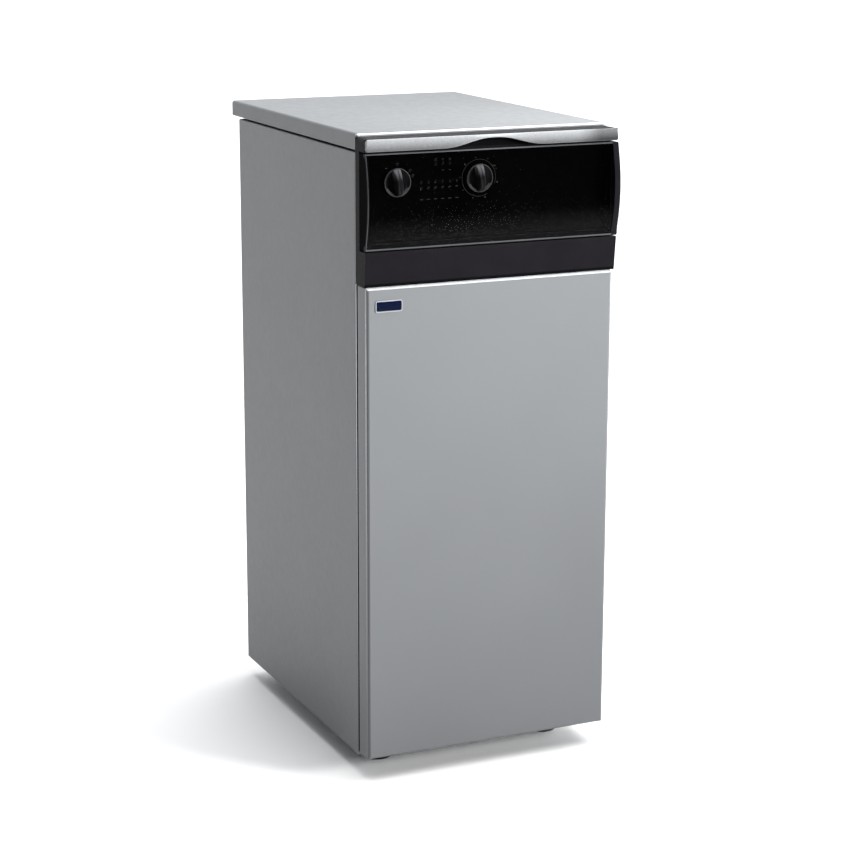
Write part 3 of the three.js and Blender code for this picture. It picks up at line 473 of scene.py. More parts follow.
def sheet(bm, axis, outlines, low, high):
    """A flat sheet between two limits: the first outline is its edge and the others are holes in it."""
    edges = []
    for outline in outlines:
        verts = [bm.verts.new(spot(axis, u, v, low)) for u, v in outline]
        edges += [bm.edges.new((verts[i], verts[(i + 1) % len(verts)])) for i in range(len(verts))]
    filled = bmesh.ops.triangle_fill(bm, use_beauty=True, use_dissolve=False, edges=edges)
    faces = [item for item in filled["geom"] if isinstance(item, bmesh.types.BMFace)]
    raised = bmesh.ops.extrude_face_region(bm, geom=faces, use_keep_orig=True)
    moved = [item for item in raised["geom"] if isinstance(item, bmesh.types.BMVert)]
    bmesh.ops.translate(bm, verts=moved, vec=spot(axis, 0, 0, high - low))


def tube(bm, path, radius, sides=20, material=0):
    """A round bar or pipe along a path of points."""
    points = [Vector(place) * MM for place in path]
    normal = None
    rings = []
    for i, here in enumerate(points):
        ahead = (points[min(i + 1, len(points) - 1)] - points[max(i - 1, 0)]).normalized()
        if normal is None:
            normal = ahead.orthogonal().normalized()
        normal = (normal - ahead * normal.dot(ahead)).normalized()
        across = ahead.cross(normal)
        rings.append([here + (normal * math.cos(a) + across * math.sin(a)) * radius * MM
                      for a in (2 * math.pi * k / sides for k in range(sides))])
    return loft(bm, rings, material=material)


def quilt(bm, axis, low, high, back, front, edge, wobble):
    """A slab of soft wool: rounded along its rim, slightly uneven over its faces."""
    cell_size = 14.0
    counts = [max(4, round((high[k] - low[k]) / cell_size)) for k in (0, 1)]

    def stations(k):
        rim = [edge * f for f in (0.0, 0.12, 0.4, 0.75)]
        inner = [edge + (high[k] - low[k] - 2 * edge) * i / counts[k] for i in range(counts[k] + 1)]
        whole = rim + inner
        return [low[k] + d for d in whole] + [high[k] - d for d in rim[::-1]]

    us, vs = stations(0), stations(1)
    middle, half = (back + front) / 2, (front - back) / 2

    def depth(u, v):
        inward = min(u - low[0], high[0] - u, v - low[1], high[1] - v)
        return math.sqrt(max(0.0, 1 - max(0.0, 1 - inward / edge) ** 2))

    corners = {(i, j) for i in (0, len(us) - 1) for j in (0, len(vs) - 1)}
    grids = []
    for side in (-1, 1):
        grid = {}
        for i, u in enumerate(us):
            for j, v in enumerate(vs):
                if (i, j) in corners:
                    continue
                swell = depth(u, v)
                if side > 0 and swell == 0:
                    grid[i, j] = grids[0][i, j]
                    continue
                uneven = noise.noise(Vector((u, v, side * 90 + middle)) / 34) * wobble * swell
                grid[i, j] = bm.verts.new(spot(axis, u, v, middle + side * (half * swell - abs(uneven))))
        grids.append(grid)
        for i in range(len(us) - 1):
            for j in range(len(vs) - 1):
                cell = (i, j), (i + 1, j), (i + 1, j + 1), (i, j + 1)
                bm.faces.new([grid[place] for place in cell if place in grid])


def bezier(a, b, c, d, count):
    """Points of a cubic curve, its first point left out."""
    points = []
    for i in range(1, count + 1):
        t = i / count
        weights = ((1 - t) ** 3, 3 * t * (1 - t) ** 2, 3 * t * t * (1 - t), t ** 3)
        points.append(tuple(sum(w * p[k] for w, p in zip(weights, (a, b, c, d))) for k in (0, 1)))
    return points


def place_object(name, data):
    made = bpy.data.objects.new(name, data)
    bpy.context.scene.collection.objects.link(made)
    return made


def piece(name, bm, body, slot, finishes=None, stands_for=(), bevel=0.0, steps=2, angle=30.0,
          edge_weight=None):
    """Makes an object of a mesh, rounds its edges and puts it on its body."""
    if stands_for or edge_weight:
        bmesh.ops.remove_doubles(bm, verts=bm.verts, dist=1e-6)
    bmesh.ops.recalc_face_normals(bm, faces=bm.faces)
    if edge_weight:
        layer = bm.edges.layers.float.new("bevel_weight_edge")
        for edge in bm.edges:
            sharp = len(edge.link_faces) == 2 and edge.calc_face_angle() > math.radians(angle)
            edge[layer] = edge_weight(edge) if sharp else 0.0
    mesh = bpy.data.meshes.new(name)
    bm.to_mesh(mesh)
    bm.free()
    for finish in finishes or [FINISH_OF_SLOT[slot]]:
        mesh.materials.append(finish)
    mesh.polygons.foreach_set("use_smooth", [True] * len(mesh.polygons))
    made = place_object(name, mesh)
    if bevel:
        rounding = made.modifiers.new("rounded_edges", "BEVEL")
        rounding.width, rounding.segments = bevel * MM, steps
        rounding.limit_method = "WEIGHT" if edge_weight else "ANGLE"
        rounding.angle_limit = math.radians(angle)
        rounding.use_clamp_overlap = False
    else:
        mesh.set_sharp_from_angle(angle=math.radians(angle))
    shading = made.modifiers.new("flat_faces", "WEIGHTED_NORMAL")
    shading.keep_sharp = not bevel
    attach(made, body)
    if stands_for:
        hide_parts(*stands_for)
    return made


def from_node(node):
    """A node's own mesh, its coplanar triangles joined up."""
    bm = bmesh.new()
    bm.from_mesh(NODES[node].data)
    bmesh.ops.remove_doubles(bm, verts=bm.verts, dist=1e-6)
    bmesh.ops.dissolve_limit(bm, angle_limit=math.radians(0.6), verts=bm.verts, edges=bm.edges)
    for face in bm.faces:
        face.material_index = 0
    return bm


def replacement(node, bm, finishes=None, bevel=0.0, **more):
    """Puts a mesh in place of a node."""
    return piece(f"{node}_look", bm, BODY_OF[node], SLOT_OF[node], finishes, [node], bevel, **more)


def refined(node, bevel=0.5, extra=None, finishes=None, **more):
    """A node's shape with its edges rounded; extra changes the mesh first."""
    bm = from_node(node)
    if extra:
        extra(bm)
    return replacement(node, bm, finishes, bevel, **more)


def middle_of(node, axis="y"):
    """Middle of a node across an axis."""
    low, high = limits(node)
    return tuple((low[k] + high[k]) / 2 for k in PLANE[axis][:2])


# ---------------------------------------------------------------- casing


def side_panels():
    shade_seal_sides, shade_seal_gaps, shade_seal_span = (174.3, 166.0), (3.6, 0.05), (32.5, 658.5)
    for sign, label in ((-1, "left"), (1, "right")):
        node = f"side_panel_{label}"
        low, high = limits(node)
        inner, outer = (high[0], low[0]) if sign < 0 else (low[0], high[0])
        bm = bmesh.new()
        # painted highlight along the upper part of the front fold
        tray(bm, "x", low[1:], high[1:], inner, outer, corner=1.6, fold=2.4,
             painted_light=lambda place, step: int(place.y < low[1] + 2 and place.z > low[2] + 3 and 1 <= step <= 2))
        replacement(node, bm, [PAINT, FOLD_HIGHLIGHT])
        # black foam seals in the gap behind the door's sides, also standing in for the shadow there: painted
        # shade
        across, along = sorted(sign * side for side in shade_seal_sides), [low[1] - gap for gap in shade_seal_gaps]
        bm = bmesh.new()
        prism(bm, "z", rounded(*zip(across, along), 0.8, 4), *shade_seal_span)
        piece(f"door_seal_and_gap_shade_{label}", bm, "casing", "black_plastic", [SHADE], angle=40)


def rear_panel():
    low, high = limits("rear_panel")
    face = high[1]
    duct = rounded((-82.5, 599.5), (82.5, 655.5), 3)
    outlines = [rounded((low[0], low[2]), (high[0], high[2]), 3), duct]
    outlines += [circle(radius + 1.8, 40, middle_of(node)) for node, radius in PIPE_RADIUS.items()]
    outlines += [circle(12.5, 32, gas_centre()), circle(8.4, 24, middle_of("cable_gland"))]
    outlines += [rounded((-40, z), (40, z + 6), 2.9, 4) for z in range(48, 119, 14)]
    bm = bmesh.new()
    sheet(bm, "y", outlines, low[1], high[1])
    replacement("rear_panel", bm, angle=40)
    bm = bmesh.new()
    for x in (-60, 60):
        swell(bm, "y", [((x - 7, 180), (x + 7, 480), 6.9, face - 0.4),
                        ((x - 5.4, 181.6), (x + 5.4, 478.4), 5.3, face + 1.2),
                        ((x - 3.6, 183.4), (x + 3.6, 476.6), 3.5, face + 2.0)], 6)
    piece("rear_panel_swages", bm, "casing", "zinc_sheet")
    bm = bmesh.new()
    places = [(x, z) for x in (-166, 166) for z in (60, 250, 440, 630, 800)]
    for place in places + [(x, 815) for x in (-90, 0, 90)]:
        screw(bm, "y", place, face, 1)
    piece("rear_panel_screws", bm, "casing", "zinc_sheet")


PIPE_RADIUS = {"flow_pipe": 16.6, "return_pipe": 13.0}  # each pipe's nut is the widest part of its node


GAS_PIPE_RADIUS = 10.5


def gas_centre():
    """Middle of the gas pipe where it leaves the casing."""
    low, high = limits("gas_supply_pipe")
    return high[0] - GAS_PIPE_RADIUS, (low[2] + high[2]) / 2


def lid():
    low, high = limits("lid")
    bm = bmesh.new()
    # painted highlight along the front fold
    tray(bm, "z", low[:2], high[:2], low[2], high[2], corner=3.5, fold=3.8,
         painted_light=lambda place, step: int(place.y < low[1] + 3.8 and 1 <= step <= 2))
    replacement("lid", bm, [LID_PAINT, FOLD_HIGHLIGHT])
    bm = bmesh.new()
    for x in (-150, 150):
        for y in (low[1] + 30, high[1] - 60):
            lathe(bm, "z", (x, y), [(8, high[2] - 1.1), (8, high[2] - 6), (6.4, high[2] - 9)], 24)
    piece("lid_buffers", bm, "lid", "black_plastic")


def base():
    refined("base_frame", 0.6)
    refined("upper_crossmember", 0.5)
    bm = bmesh.new()
    low, high = limits("upper_crossmember")
    for x in (-160, -60, 60, 160):
        screw(bm, "y", (x, (low[2] + high[2]) / 2), low[1], -1, 3.8)
    piece("crossmember_screws", bm, "casing", "zinc_sheet")


def feet():
    for depth in ("front", "rear"):
        for side in ("left", "right"):
            node = f"levelling_foot_{depth}_{side}"
            centre, top = middle_of(node, "z"), limits(node)[1][2]
            bm = bmesh.new()
            lathe(bm, "z", centre, [(17.4, 0), (18.7, 0.6), (19, 1.6), (19, 4), (18.3, 4.9), (16.4, 5.4),
                                    (11.6, 10.6), (9.4, 12), (7, 12.3)], 40, material=1)
            lathe(bm, "z", centre, thread(5, 11.5, top - 0.8) + [(3.8, top)], 20)
            nut(bm, "z", centre, 19, 28, 9.5)
            nut(bm, "z", centre, 30.6, 39, 9.5)
            replacement(node, bm, [ZINC, BLACK])


# ---------------------------------------------------------------- door


def door():
    low, high = limits("front_door")
    skin = low[1]

    def painted_light(place, step):
        """A painted highlight on the top fold, and down the left one a softer painted highlight with painted
        shade beside it.
        """
        if place.z > high[2] - 4:
            return int(step >= 1)
        if place.x < low[0] + 4.6 and place.z > low[2] + 3:
            return (0, 3, 3, 2, 2, 2)[step]
        return 0

    bm = bmesh.new()
    tray(bm, "y", (low[0], low[2]), (high[0], high[2]), high[1], skin,
         corner=1.6, fold=4.6, lip=12.5, steps=6, painted_light=painted_light)
    replacement("front_door", bm, [PAINT, FOLD_HIGHLIGHT, FOLD_SHADE, FOLD_SOFT_HIGHLIGHT])
    bm = bmesh.new()
    quilt(bm, "y", (low[0] + 26, low[2] + 26), (high[0] - 26, high[2] - 62), skin + 1.2, skin + 13, 6, 1.2)
    piece("door_wool_pad", bm, "door", "wool", [FOIL])
    bm = bmesh.new()
    washer = from_level(skin, (3, 2), (3, 12.6), (11, 12.8), (11, 13.4), (5, 14.4))
    for x in (low[0] + 40, high[0] - 40):
        for z in (low[2] + 60, (low[2] + high[2]) / 2, high[2] - 100):
            lathe(bm, "y", (x, z), washer, 24)
    piece("door_pad_washers", bm, "door", "zinc_sheet")
    for side in ("left", "right"):
        door_catch(f"door_stud_{side}", f"door_clip_{side}")


def door_catch(stud, clip):
    """A headed stud on the door and the spring clip that holds it."""
    (x, z), (low, high) = middle_of(stud), limits(stud)
    bm = bmesh.new()
    lathe(bm, "y", (x, z), from_level(low[1], (7, 0), (7, 1.6), (5.8, 2.7), (3, 2.8))
          + from_level(high[1], (3, -5.4), (4.5, -4.4), (4.5, -2.6), (2.6, 0)), 28)
    replacement(stud, bm)
    low, high = limits(clip)
    wall, half = 2.0, high[0] - x
    front, rear = low[1], high[1]
    left_arm = [(-half + 0.2, front), (-half, front + 2), (-half + 0.4, front + 5), (-half, front + 8),
                (-half, rear - 2), (-half + 2, rear)]
    path = left_arm + [(-u, v) for u, v in left_arm[::-1]]
    inner = [(u - math.copysign(wall, u) * (abs(u) > half - 1.9), min(v, rear - 1.6)) for u, v in path]
    bm = bmesh.new()
    prism(bm, "z", [(x + u, v) for u, v in path + inner[::-1]], low[2], high[2])
    replacement(clip, bm, angle=50)


def badge():
    low, high = limits("door_badge")
    back, front = high[1], low[1]

    def rings(*stages):
        return [inset_ring("y", (low[0], low[2]), (high[0], high[2]), inset, max(3 - inset, 1), y, 7)
                for inset, y in stages]

    bm = bmesh.new()
    loft(bm, rings((0, back), (0, front + 0.35), (0.25, front + 0.05), (0.75, front + 0.05),
                   (0.95, front + 0.35)), material=1)
    loft(bm, rings((0.95, back - 0.2), (0.95, front + 0.45), (1.6, front + 0.25), (3, front + 0.12)))
    replacement("door_badge", bm, [ENAMEL, BORDER])


# ---------------------------------------------------------------- control fascia

FLAP_BOTTOM, FLAP_TOP, FLAP_FOOT, FLAP_BULGE, FLAP_SKIN = 710.0, 827.5, -288.0, 9.0, 2.5
FLAP_BARREL = (-285.0, 710.0, 3.9)  # depth and height of the hinge line, and the radius round it
PLATE_REAR = -268.8  # the switch, the thermostat and the light guide stand off this face
NOTCH_HALF, NOTCH_TOP = 74.0, 841.2


def fascia():
    low, high = limits("fascia_frame")

    def weight(edge):
        """How far each edge is rounded: fully at the two upper front-to-back corners."""
        a, b = (vert.co / MM for vert in edge.verts)
        along_y = abs(a.x - b.x) < 0.1 and abs(a.z - b.z) < 0.1
        if along_y and a.z > high[2] - 0.5 and abs(a.x) > high[0] - 0.5:
            return 1.0
        return 0.08

    def paint_recess_shade(bm):
        """Painted shade on the finger recess and on what shows round it through the bar's notch."""
        behind_bar = limits("trim_bar")[1][1] + 0.2
        for face in bm.faces:
            place = face.calc_center_median() / MM
            in_notch = place.z > FLAP_TOP + 1.5 and abs(place.x) < NOTCH_HALF
            if in_notch and behind_bar < place.y < behind_bar + 11.6 and abs(place.z - high[2]) > 1:
                face.material_index = 1

    refined("fascia_frame", 5.5, paint_recess_shade, [CHARCOAL, SHADE], steps=6, edge_weight=weight)
    # a black strip along the apron's foot: painted shadow of the gap above the door
    front = limits("front_door")[0][1] - 0.5
    gap_shade_strip = [(front - 0.55, low[2] + 3.4), (front - 0.25, low[2] - 0.1), (front + 6, low[2] - 0.6),
             (front + 6, low[2] + 3.4)]
    bm = bmesh.new()
    prism(bm, "x", gap_shade_strip, low[0] + 0.4, high[0] - 0.4)
    piece("fascia_gap_shade", bm, "casing", "black_plastic", [SHADE], bevel=0.15, angle=40)


def notch_height(x, bottom):
    """Lower edge of the silver bar at x."""
    if abs(x) >= NOTCH_HALF:
        return bottom
    start = (-NOTCH_HALF, bottom)
    curve = [start] + bezier(start, (-42, bottom), (-32, NOTCH_TOP), (0, NOTCH_TOP), 40)
    for (x0, z0), (x1, z1) in zip(curve, curve[1:]):
        if x0 <= -abs(x) <= x1:
            return z0 + (z1 - z0) * (-abs(x) - x0) / (x1 - x0)
    return NOTCH_TOP


def round_over(radius, inward):
    """How far a rounded corner has fallen at this distance inside its end."""
    if inward >= radius:
        return 0.0
    return radius - math.sqrt(max(0.0, radius ** 2 - (radius - inward) ** 2))


def trim_bar():
    low, high = limits("trim_bar")
    corner, foot, lean, over = 4.0, 2.2, 1.9, 0.9
    left = [low[0] + d for d in (0, 0.25, 0.6, 1.1, 1.7, 2.4, 3.2, 4, 12)]
    notch = [-NOTCH_HALF + 4 * i for i in range(int(NOTCH_HALF / 2) + 1)]
    rings = []
    for x in left + notch + [-x for x in left[::-1]]:
        end = min(x - low[0], high[0] - x)
        bottom = notch_height(x, low[2]) + round_over(foot, end)
        top = max(high[2] - round_over(corner, end), bottom + 1.5)
        front = low[1] + 0.55 * max(0.0, 1 - end / 1.4)
        tall = top - bottom
        outline = [(high[1], bottom + 0.3), (high[1] - 0.3, bottom), (front + 1.3, bottom),
                   (front + 0.5, bottom + 0.3), (front + 0.1, bottom + 0.9)]
        outline += [(front + lean * t ** 2.2, bottom + 0.9 + (tall - 0.9 - over) * t)
                    for t in (i / 9 for i in range(1, 10))]
        outline += [(front + lean + over * (1 - math.cos(a)), top - over * (1 - math.sin(a)))
                    for a in quarter(4, 1)]
        rings.append([spot("x", u, v, x) for u, v in outline + [(high[1], top - 0.1)]])
    bm = bmesh.new()
    loft(bm, rings)
    replacement("trim_bar", bm, angle=50)


def lamp_places():
    """The lamps of the lower row, then those of the upper one."""
    low, high = limits("light_guide")
    columns = [low[0] + 6 + 9.8 * i for i in range(6)]
    return [(x, low[2] + 6) for x in columns] + [(x, high[2] - 6) for x in columns[2:5]]


def control_plate():
    low, high = limits("control_plate")
    face, knobs = low[1], [middle_of("selector_knob"), middle_of("thermostat_knob")]
    lamps = lamp_places()
    outlines = [rounded((low[0], low[2]), (high[0], high[2]), 2.5)]
    outlines += [circle(5.5, 32, place) for place in knobs]
    outlines += [circle(2.2, 20, place) for place in lamps]
    bm = bmesh.new()
    sheet(bm, "y", outlines, face, high[1])
    replacement("control_plate", bm, angle=40)

    low, high = limits("light_guide")
    bm = bmesh.new()
    block(bm, (low[0], PLATE_REAR + 0.2, low[2]), high)
    for place in lamps:
        lathe(bm, "y", place, [(1.7, PLATE_REAR), (1.7, face + 0.1), (1.3, low[1] + 0.03), (0.6, low[1])], 16)
    replacement("light_guide", bm, bevel=0.15)
    plate_print(face, *knobs, lamps)


def plate_print(face, selector, thermostat, lamps):
    """Generic marks: dashes, open rings and a scale of dots."""
    (sx, sz), (tx, tz) = selector, thermostat
    front, back = face - 0.07, face + 0.2
    bm = bmesh.new()

    def dash(x, z, half, tall=0.45):
        prism(bm, "y", rounded((x - half, z - tall), (x + half, z + tall), 0.3, 2), front, back)

    def ring(x, z, radius, start, end):
        width, count = 0.27, max(6, int((end - start) / 6))
        angles = [math.radians(start + (end - start) * i / count) for i in range(count + 1)]
        edges = (radius + width, angles), (radius - width, angles[::-1])
        outline = [(x + r * math.cos(a), z + r * math.sin(a)) for r, turns in edges for a in turns]
        prism(bm, "y", outline, front, back)

    for i, (x, z) in enumerate(lamps[:6]):
        dash(x, z - 21.5, 2.1)
        ring(x, z - 7.5, 1.3, 0, 330 - 24 * i)
    for x, z in lamps[6:]:
        ring(x, z + 5.4, 1.2, 20, 340)
    for x, z in lamps[7:]:
        dash(x, z - 8.0, 1.5)
    ring(tx, tz, 23.5, -20, 300)
    for i in range(9):
        a = math.radians(-14 + 38 * i)
        dot = circle(0.75 if i % 4 else 1.2, 12, (tx + 26.4 * math.cos(a), tz + 26.4 * math.sin(a)))
        prism(bm, "y", dot, front, back)
    dash(tx + 21, tz + 14.5, 2.2, 0.8)
    for x, z in ((18.5, 13.9), (22.5, 7.1), (1.5, 22.5)):
        ring(sx + x, sz + z, 1.5, 0, 300)
    dash(sx - 14, sz + 18, 1.4)
    piece("plate_print", bm, "casing", "control_face", [PRINT])


def flap_outer(z):
    """Depth of the flap's bulging face at a height."""
    t = (z - FLAP_BOTTOM) / (FLAP_TOP - FLAP_BOTTOM)
    return FLAP_FOOT - 4 * FLAP_BULGE * t * (1 - t)


def flap():
    low, high = limits("flap")
    y0, z0, barrel = FLAP_BARREL
    turn_from, turn_to = math.radians(70), math.radians(-170)
    arc = [(y0 + barrel * math.cos(a), z0 + barrel * math.sin(a))
           for a in (turn_from + (turn_to - turn_from) * i / 12 for i in range(13))]
    levels = [FLAP_BOTTOM + 3 + (FLAP_TOP - FLAP_BOTTOM - 4.5) * i / 22 for i in range(23)]
    outer = [(flap_outer(z), z) for z in levels]
    edge = [(flap_outer(FLAP_TOP) + 0.1, FLAP_TOP - 0.7), (flap_outer(FLAP_TOP) + 0.7, FLAP_TOP),
            (FLAP_FOOT + 6.6, FLAP_TOP), (FLAP_FOOT + 7, FLAP_TOP - 0.5),
            (FLAP_FOOT + 6.8, FLAP_TOP - FLAP_SKIN)]
    inner = [(flap_outer(z) + FLAP_SKIN, z) for z in levels[::-1] if z < FLAP_TOP - FLAP_SKIN - 0.5]
    outline = arc + outer + edge + inner
    band, rim = 8.0, 0.8
    inside = high[0] - band
    columns = [(low[0], rim), (low[0] + 0.25, 0.25), (low[0] + rim, 0), (low[0] + 2.6, 0)]
    columns += [(x, 0) for x in (-120, -60, 0, 60, 120, inside, high[0] - rim)]
    columns += [(high[0] - 0.25, 0.25), (high[0], rim)]
    middle = (FLAP_FOOT - 2, (FLAP_BOTTOM + FLAP_TOP) / 2)

    def ring(x, shrink):
        return [spot("x", u + math.copysign(min(shrink * 0.5, abs(u - middle[0])), middle[0] - u),
                     v + math.copysign(shrink * 0.3, middle[1] - v), x) for u, v in outline]

    def finish_at(column, row):
        """0 smoked, 1 painted highlight along the edges and the lip, 2 charcoal, 3 black: the band at the
        right end is charcoal.
        """
        x, top_row = columns[column][0], len(arc) + len(outer) - 1
        if x >= inside - 0.1:
            return 2
        if row < len(arc) - 3:
            return 3
        return int(x < low[0] + rim - 0.1 or top_row <= row < top_row + 5 or row < len(arc) - 1)

    bm = bmesh.new()
    faces = loft(bm, [ring(x, shrink) for x, shrink in columns])
    for index, face in enumerate(faces[:-2]):
        face.material_index = finish_at(*divmod(index, len(outline)))
    for face in faces[-2:]:
        face.material_index = 2
    cheek = [(FLAP_FOOT + 1, FLAP_BOTTOM + 1)] + [(flap_outer(z) + 0.6, z) for z in levels]
    cheek += [(FLAP_FOOT + 1, FLAP_TOP - 0.2), (high[1] - 1, FLAP_TOP - 0.2), (high[1], FLAP_TOP - 1.2),
              (high[1], FLAP_BOTTOM - 2), (high[1] - 1, FLAP_BOTTOM - 3), (FLAP_FOOT + 3, FLAP_BOTTOM - 3)]
    for sign, finish in ((-1, 3), (1, 2)):
        ends = sorted((sign * (high[0] - 0.05), sign * (high[0] - FLAP_SKIN)))
        prism(bm, "x", cheek, *ends, material=finish)
    replacement("flap", bm, [SMOKED, FLAP_EDGE_HIGHLIGHT, CHARCOAL, SHADE], angle=40)


KNOB_TILT = math.radians(-7)  # how far the grips lean to the left at rest
KNOB_SKIRT = [  # radius and depth, from the shaft out over the rim and across the dished face
    (3, -256), (3, -275.2), (16.6, -276), (17.7, -276.2), (18, -276.7), (18, -278.9), (17.8, -279.35),
    (17.35, -279.5), (16.95, -279.35), (16.5, -279.0), (15.4, -278.25), (14.3, -277.55), (13.3, -277.15),
    (12, -277.0), (4, -277.0)]
KNOB_GRIP = [  # place along the grip from its foot, depth of its crest and half its width
    (-17.1, -278.2, 3.2), (-16.7, -280.0, 3.4), (-15.8, -282.2, 3.6), (-13.8, -284.6, 3.7),
    (-11, -286.3, 3.8), (-7.5, -287.3, 3.9), (-3, -287.5, 4.0), (2, -287.4, 4.1), (6, -286.8, 4.3),
    (9.5, -285.8, 4.5), (12.5, -284.3, 4.8), (15, -282.2, 5.1), (16.6, -280.0, 5.2), (17.2, -278.4, 4.8)]


def knobs():
    sine, cosine, grip_back = math.sin(KNOB_TILT), math.cos(KNOB_TILT), -277.2
    for node in ("selector_knob", "thermostat_knob"):
        x, z = middle_of(node)
        bm = bmesh.new()
        for face in lathe(bm, "y", (x, z), KNOB_SKIRT, 72)[:-2]:
            place = face.calc_center_median() / MM
            across, above = place.x - x, place.z - z
            radius = math.hypot(across, above)
            # painted highlights: the rim's front ring and two crescents low in the dish
            highlight_crescent = 14.4 < radius < 17.0 and above < -7 and abs(across) > 4.5
            if radius > 17.0 and place.y < -278.9 or highlight_crescent:
                face.material_index = 1
        rings = []
        for along, front, half in KNOB_GRIP:
            groove = min(1.0, max(0.0, -front - 280) * 0.4)
            side = [(-half - 0.6, grip_back), (-half, front + 2.2), (-half + 0.25, front + 0.9),
                    (-half + 0.9, front + 0.2), (-half + 1.5, front), (-1.15, front), (-0.85, front + groove)]
            outline = side + [(-u, v) for u, v in side[::-1]]
            rings.append([Vector((x + (u * cosine + along * sine), v, z + (along * cosine - u * sine))) * MM
                          for u, v in outline])
        loft(bm, rings, material=2)
        replacement(node, bm, [KNOB, KNOB_HIGHLIGHT, knob_grip(z)], angle=42)


def control_internals():
    x, z = middle_of("selector_switch")
    low, high = limits("selector_switch")
    rear = high[1]
    bm = bmesh.new()
    block(bm, (low[0], PLATE_REAR, low[2]), high)
    for k in range(4):
        for terminal in (z - 9, z + 8.2):
            block(bm, (x - 14 + 8 * k, rear - 1, terminal), (x - 11 + 8 * k, rear + 6, terminal + 0.8), 1)
    collar_and_body("selector_switch", bm)

    x, z = middle_of("thermostat_body")
    rear = limits("thermostat_body")[1][1]
    bm = bmesh.new()
    lathe(bm, "y", (x, z), [(17.6, PLATE_REAR), (19, PLATE_REAR + 1.2), (19, -250), (17.6, -248.6),
                            (17.6, -238), (16.2, rear)], 48)
    lathe(bm, "y", (x, z + 8), [(2.6, -240), (2.6, rear + 2), (1.2, rear + 5)], 20, material=1)
    collar_and_body("thermostat_body", bm)

    refined("control_box", 1.2, steps=3)
    low, high = limits("control_box")
    rear = high[1]
    bm = bmesh.new()
    for x in (-130, -45, 45, 130):
        for z in (low[2] + 16, high[2] - 16):
            screw(bm, "y", (x, z), rear, 1, 3.4)
    for x in range(-100, 29, 16):
        vent = rounded((x, low[2] + 36), (x + 8, high[2] - 36), 3.9, 4)
        prism(bm, "y", vent, rear - 0.3, rear + 1.1, 1)
    piece("control_box_fittings", bm, "casing", "grey_plastic", [ZINC, GREY])
    circuit_board()

    centre, (low, high) = middle_of("cable_gland"), limits("cable_gland")
    panel = limits("rear_panel")[1][1]
    bm = bmesh.new()
    lathe(bm, "y", centre, [(4, low[1]), (8, low[1]), (8, panel + 1), (10, panel + 7)]
          + from_level(high[1], (9.6, -7), (7.4, -0.6), (6.6, 0), (4, 0)), 36, closed=True)
    nut(bm, "y", centre, panel + 0.3, panel + 7.3, 12)
    nut(bm, "y", centre, low[1] + 1, panel - 1.3, 12)
    replacement("cable_gland", bm, angle=40)


def collar_and_body(node, bm):
    """Adds the brass collar round the shaft of a switch or thermostat and finishes its piece."""
    front = limits(node)[0][1]
    lathe(bm, "y", middle_of(node), [(5, front), (5, -268), (3.4, -268), (3.4, front)], 32,
          closed=True, material=1)
    replacement(node, bm, [FINISH_OF_SLOT[SLOT_OF[node]], BRASS], bevel=0.3)


def circuit_board():
    low, high = limits("circuit_board")
    front, board = low[1], high[1] - 1.6
    parts = [  # lowest and highest corner, and finish: relay, transformer, capacitors, fuse clips, terminals
        ((28, -246, 736), (62, board, 764), 1), ((33, front, 732), (57, board, 768), 2),
        ((72, -242, 734), (90, board, 762), 3), ((96, -242, 734), (114, board, 762), 3),
        ((123, -236, 735.6), (127, board, 742.4), 5), ((139, -236, 735.6), (143, board, 742.4), 5),
        ((30, -238, 796), (140, board, 808), 6)]
    bm = bmesh.new()
    block(bm, (low[0], board, low[2]), high)
    for lowest, highest, finish in parts:
        block(bm, lowest, highest, finish)
    lathe(bm, "x", (-232, 739), [(2.6, 122), (2.6, 144)], 20, material=4)
    for k in range(10):
        lathe(bm, "y", (36 + 11 * k, 802), [(3.1, -237.8), (3.1, -238.4), (2.2, -238.8)], 14, material=5)
    replacement("circuit_board", bm, [BOARD, BRASS, IRON, BLACK, GLASS, ZINC, GREY], bevel=0.4)


# ---------------------------------------------------------------- heat exchanger


def exchanger():
    for node in ("front_section", "middle_section", "rear_section"):
        refined(node, 1.8, steps=3, angle=35)
    front = limits("front_section")[0][1]
    bm = bmesh.new()
    for z in range(310, 571, 26):
        swell(bm, "y", [((-92, z - 3), (92, z + 3), 2.9, front + 1),
                        ((-90.5, z - 1.6), (90.5, z + 1.6), 1.5, front - 3)])
    boss = from_level(front, (9, 1), (8, -4), (5, -4.6))
    for x in (-101, 101):
        for z in (305, 410):
            lathe(bm, "y", (x, z), boss, 28)
    piece("front_casting_ribs", bm, "casing", "cast_iron", bevel=0.6, angle=40)
    for depth, side in (("front", "left"), ("rear", "right")):
        for level in ("upper", "lower"):
            refined(f"{level}_nipple_{depth}", 0.4)
        for level in ("upper", "lower"):
            tie_rod(f"tie_rod_{level}_{side}")
    jacket()
    hood()


def tie_rod(node):
    """A rod threaded at both ends, with a nut against each outer section."""
    centre, (low, high) = middle_of(node), limits(node)
    shank, nut_faces = 149, (150.3, 157.1)
    bm = bmesh.new()
    lathe(bm, "y", centre, [(4.2, low[1])] + thread(5, low[1] + 0.8, -shank - 2) + [(5, -shank), (5, shank)]
          + thread(5, shank + 2, high[1] - 0.8) + [(4.2, high[1])], 20)
    for sign in (-1, 1):
        nut(bm, "y", centre, *sorted(sign * face for face in nut_faces), 9)
    replacement(node, bm, angle=40)


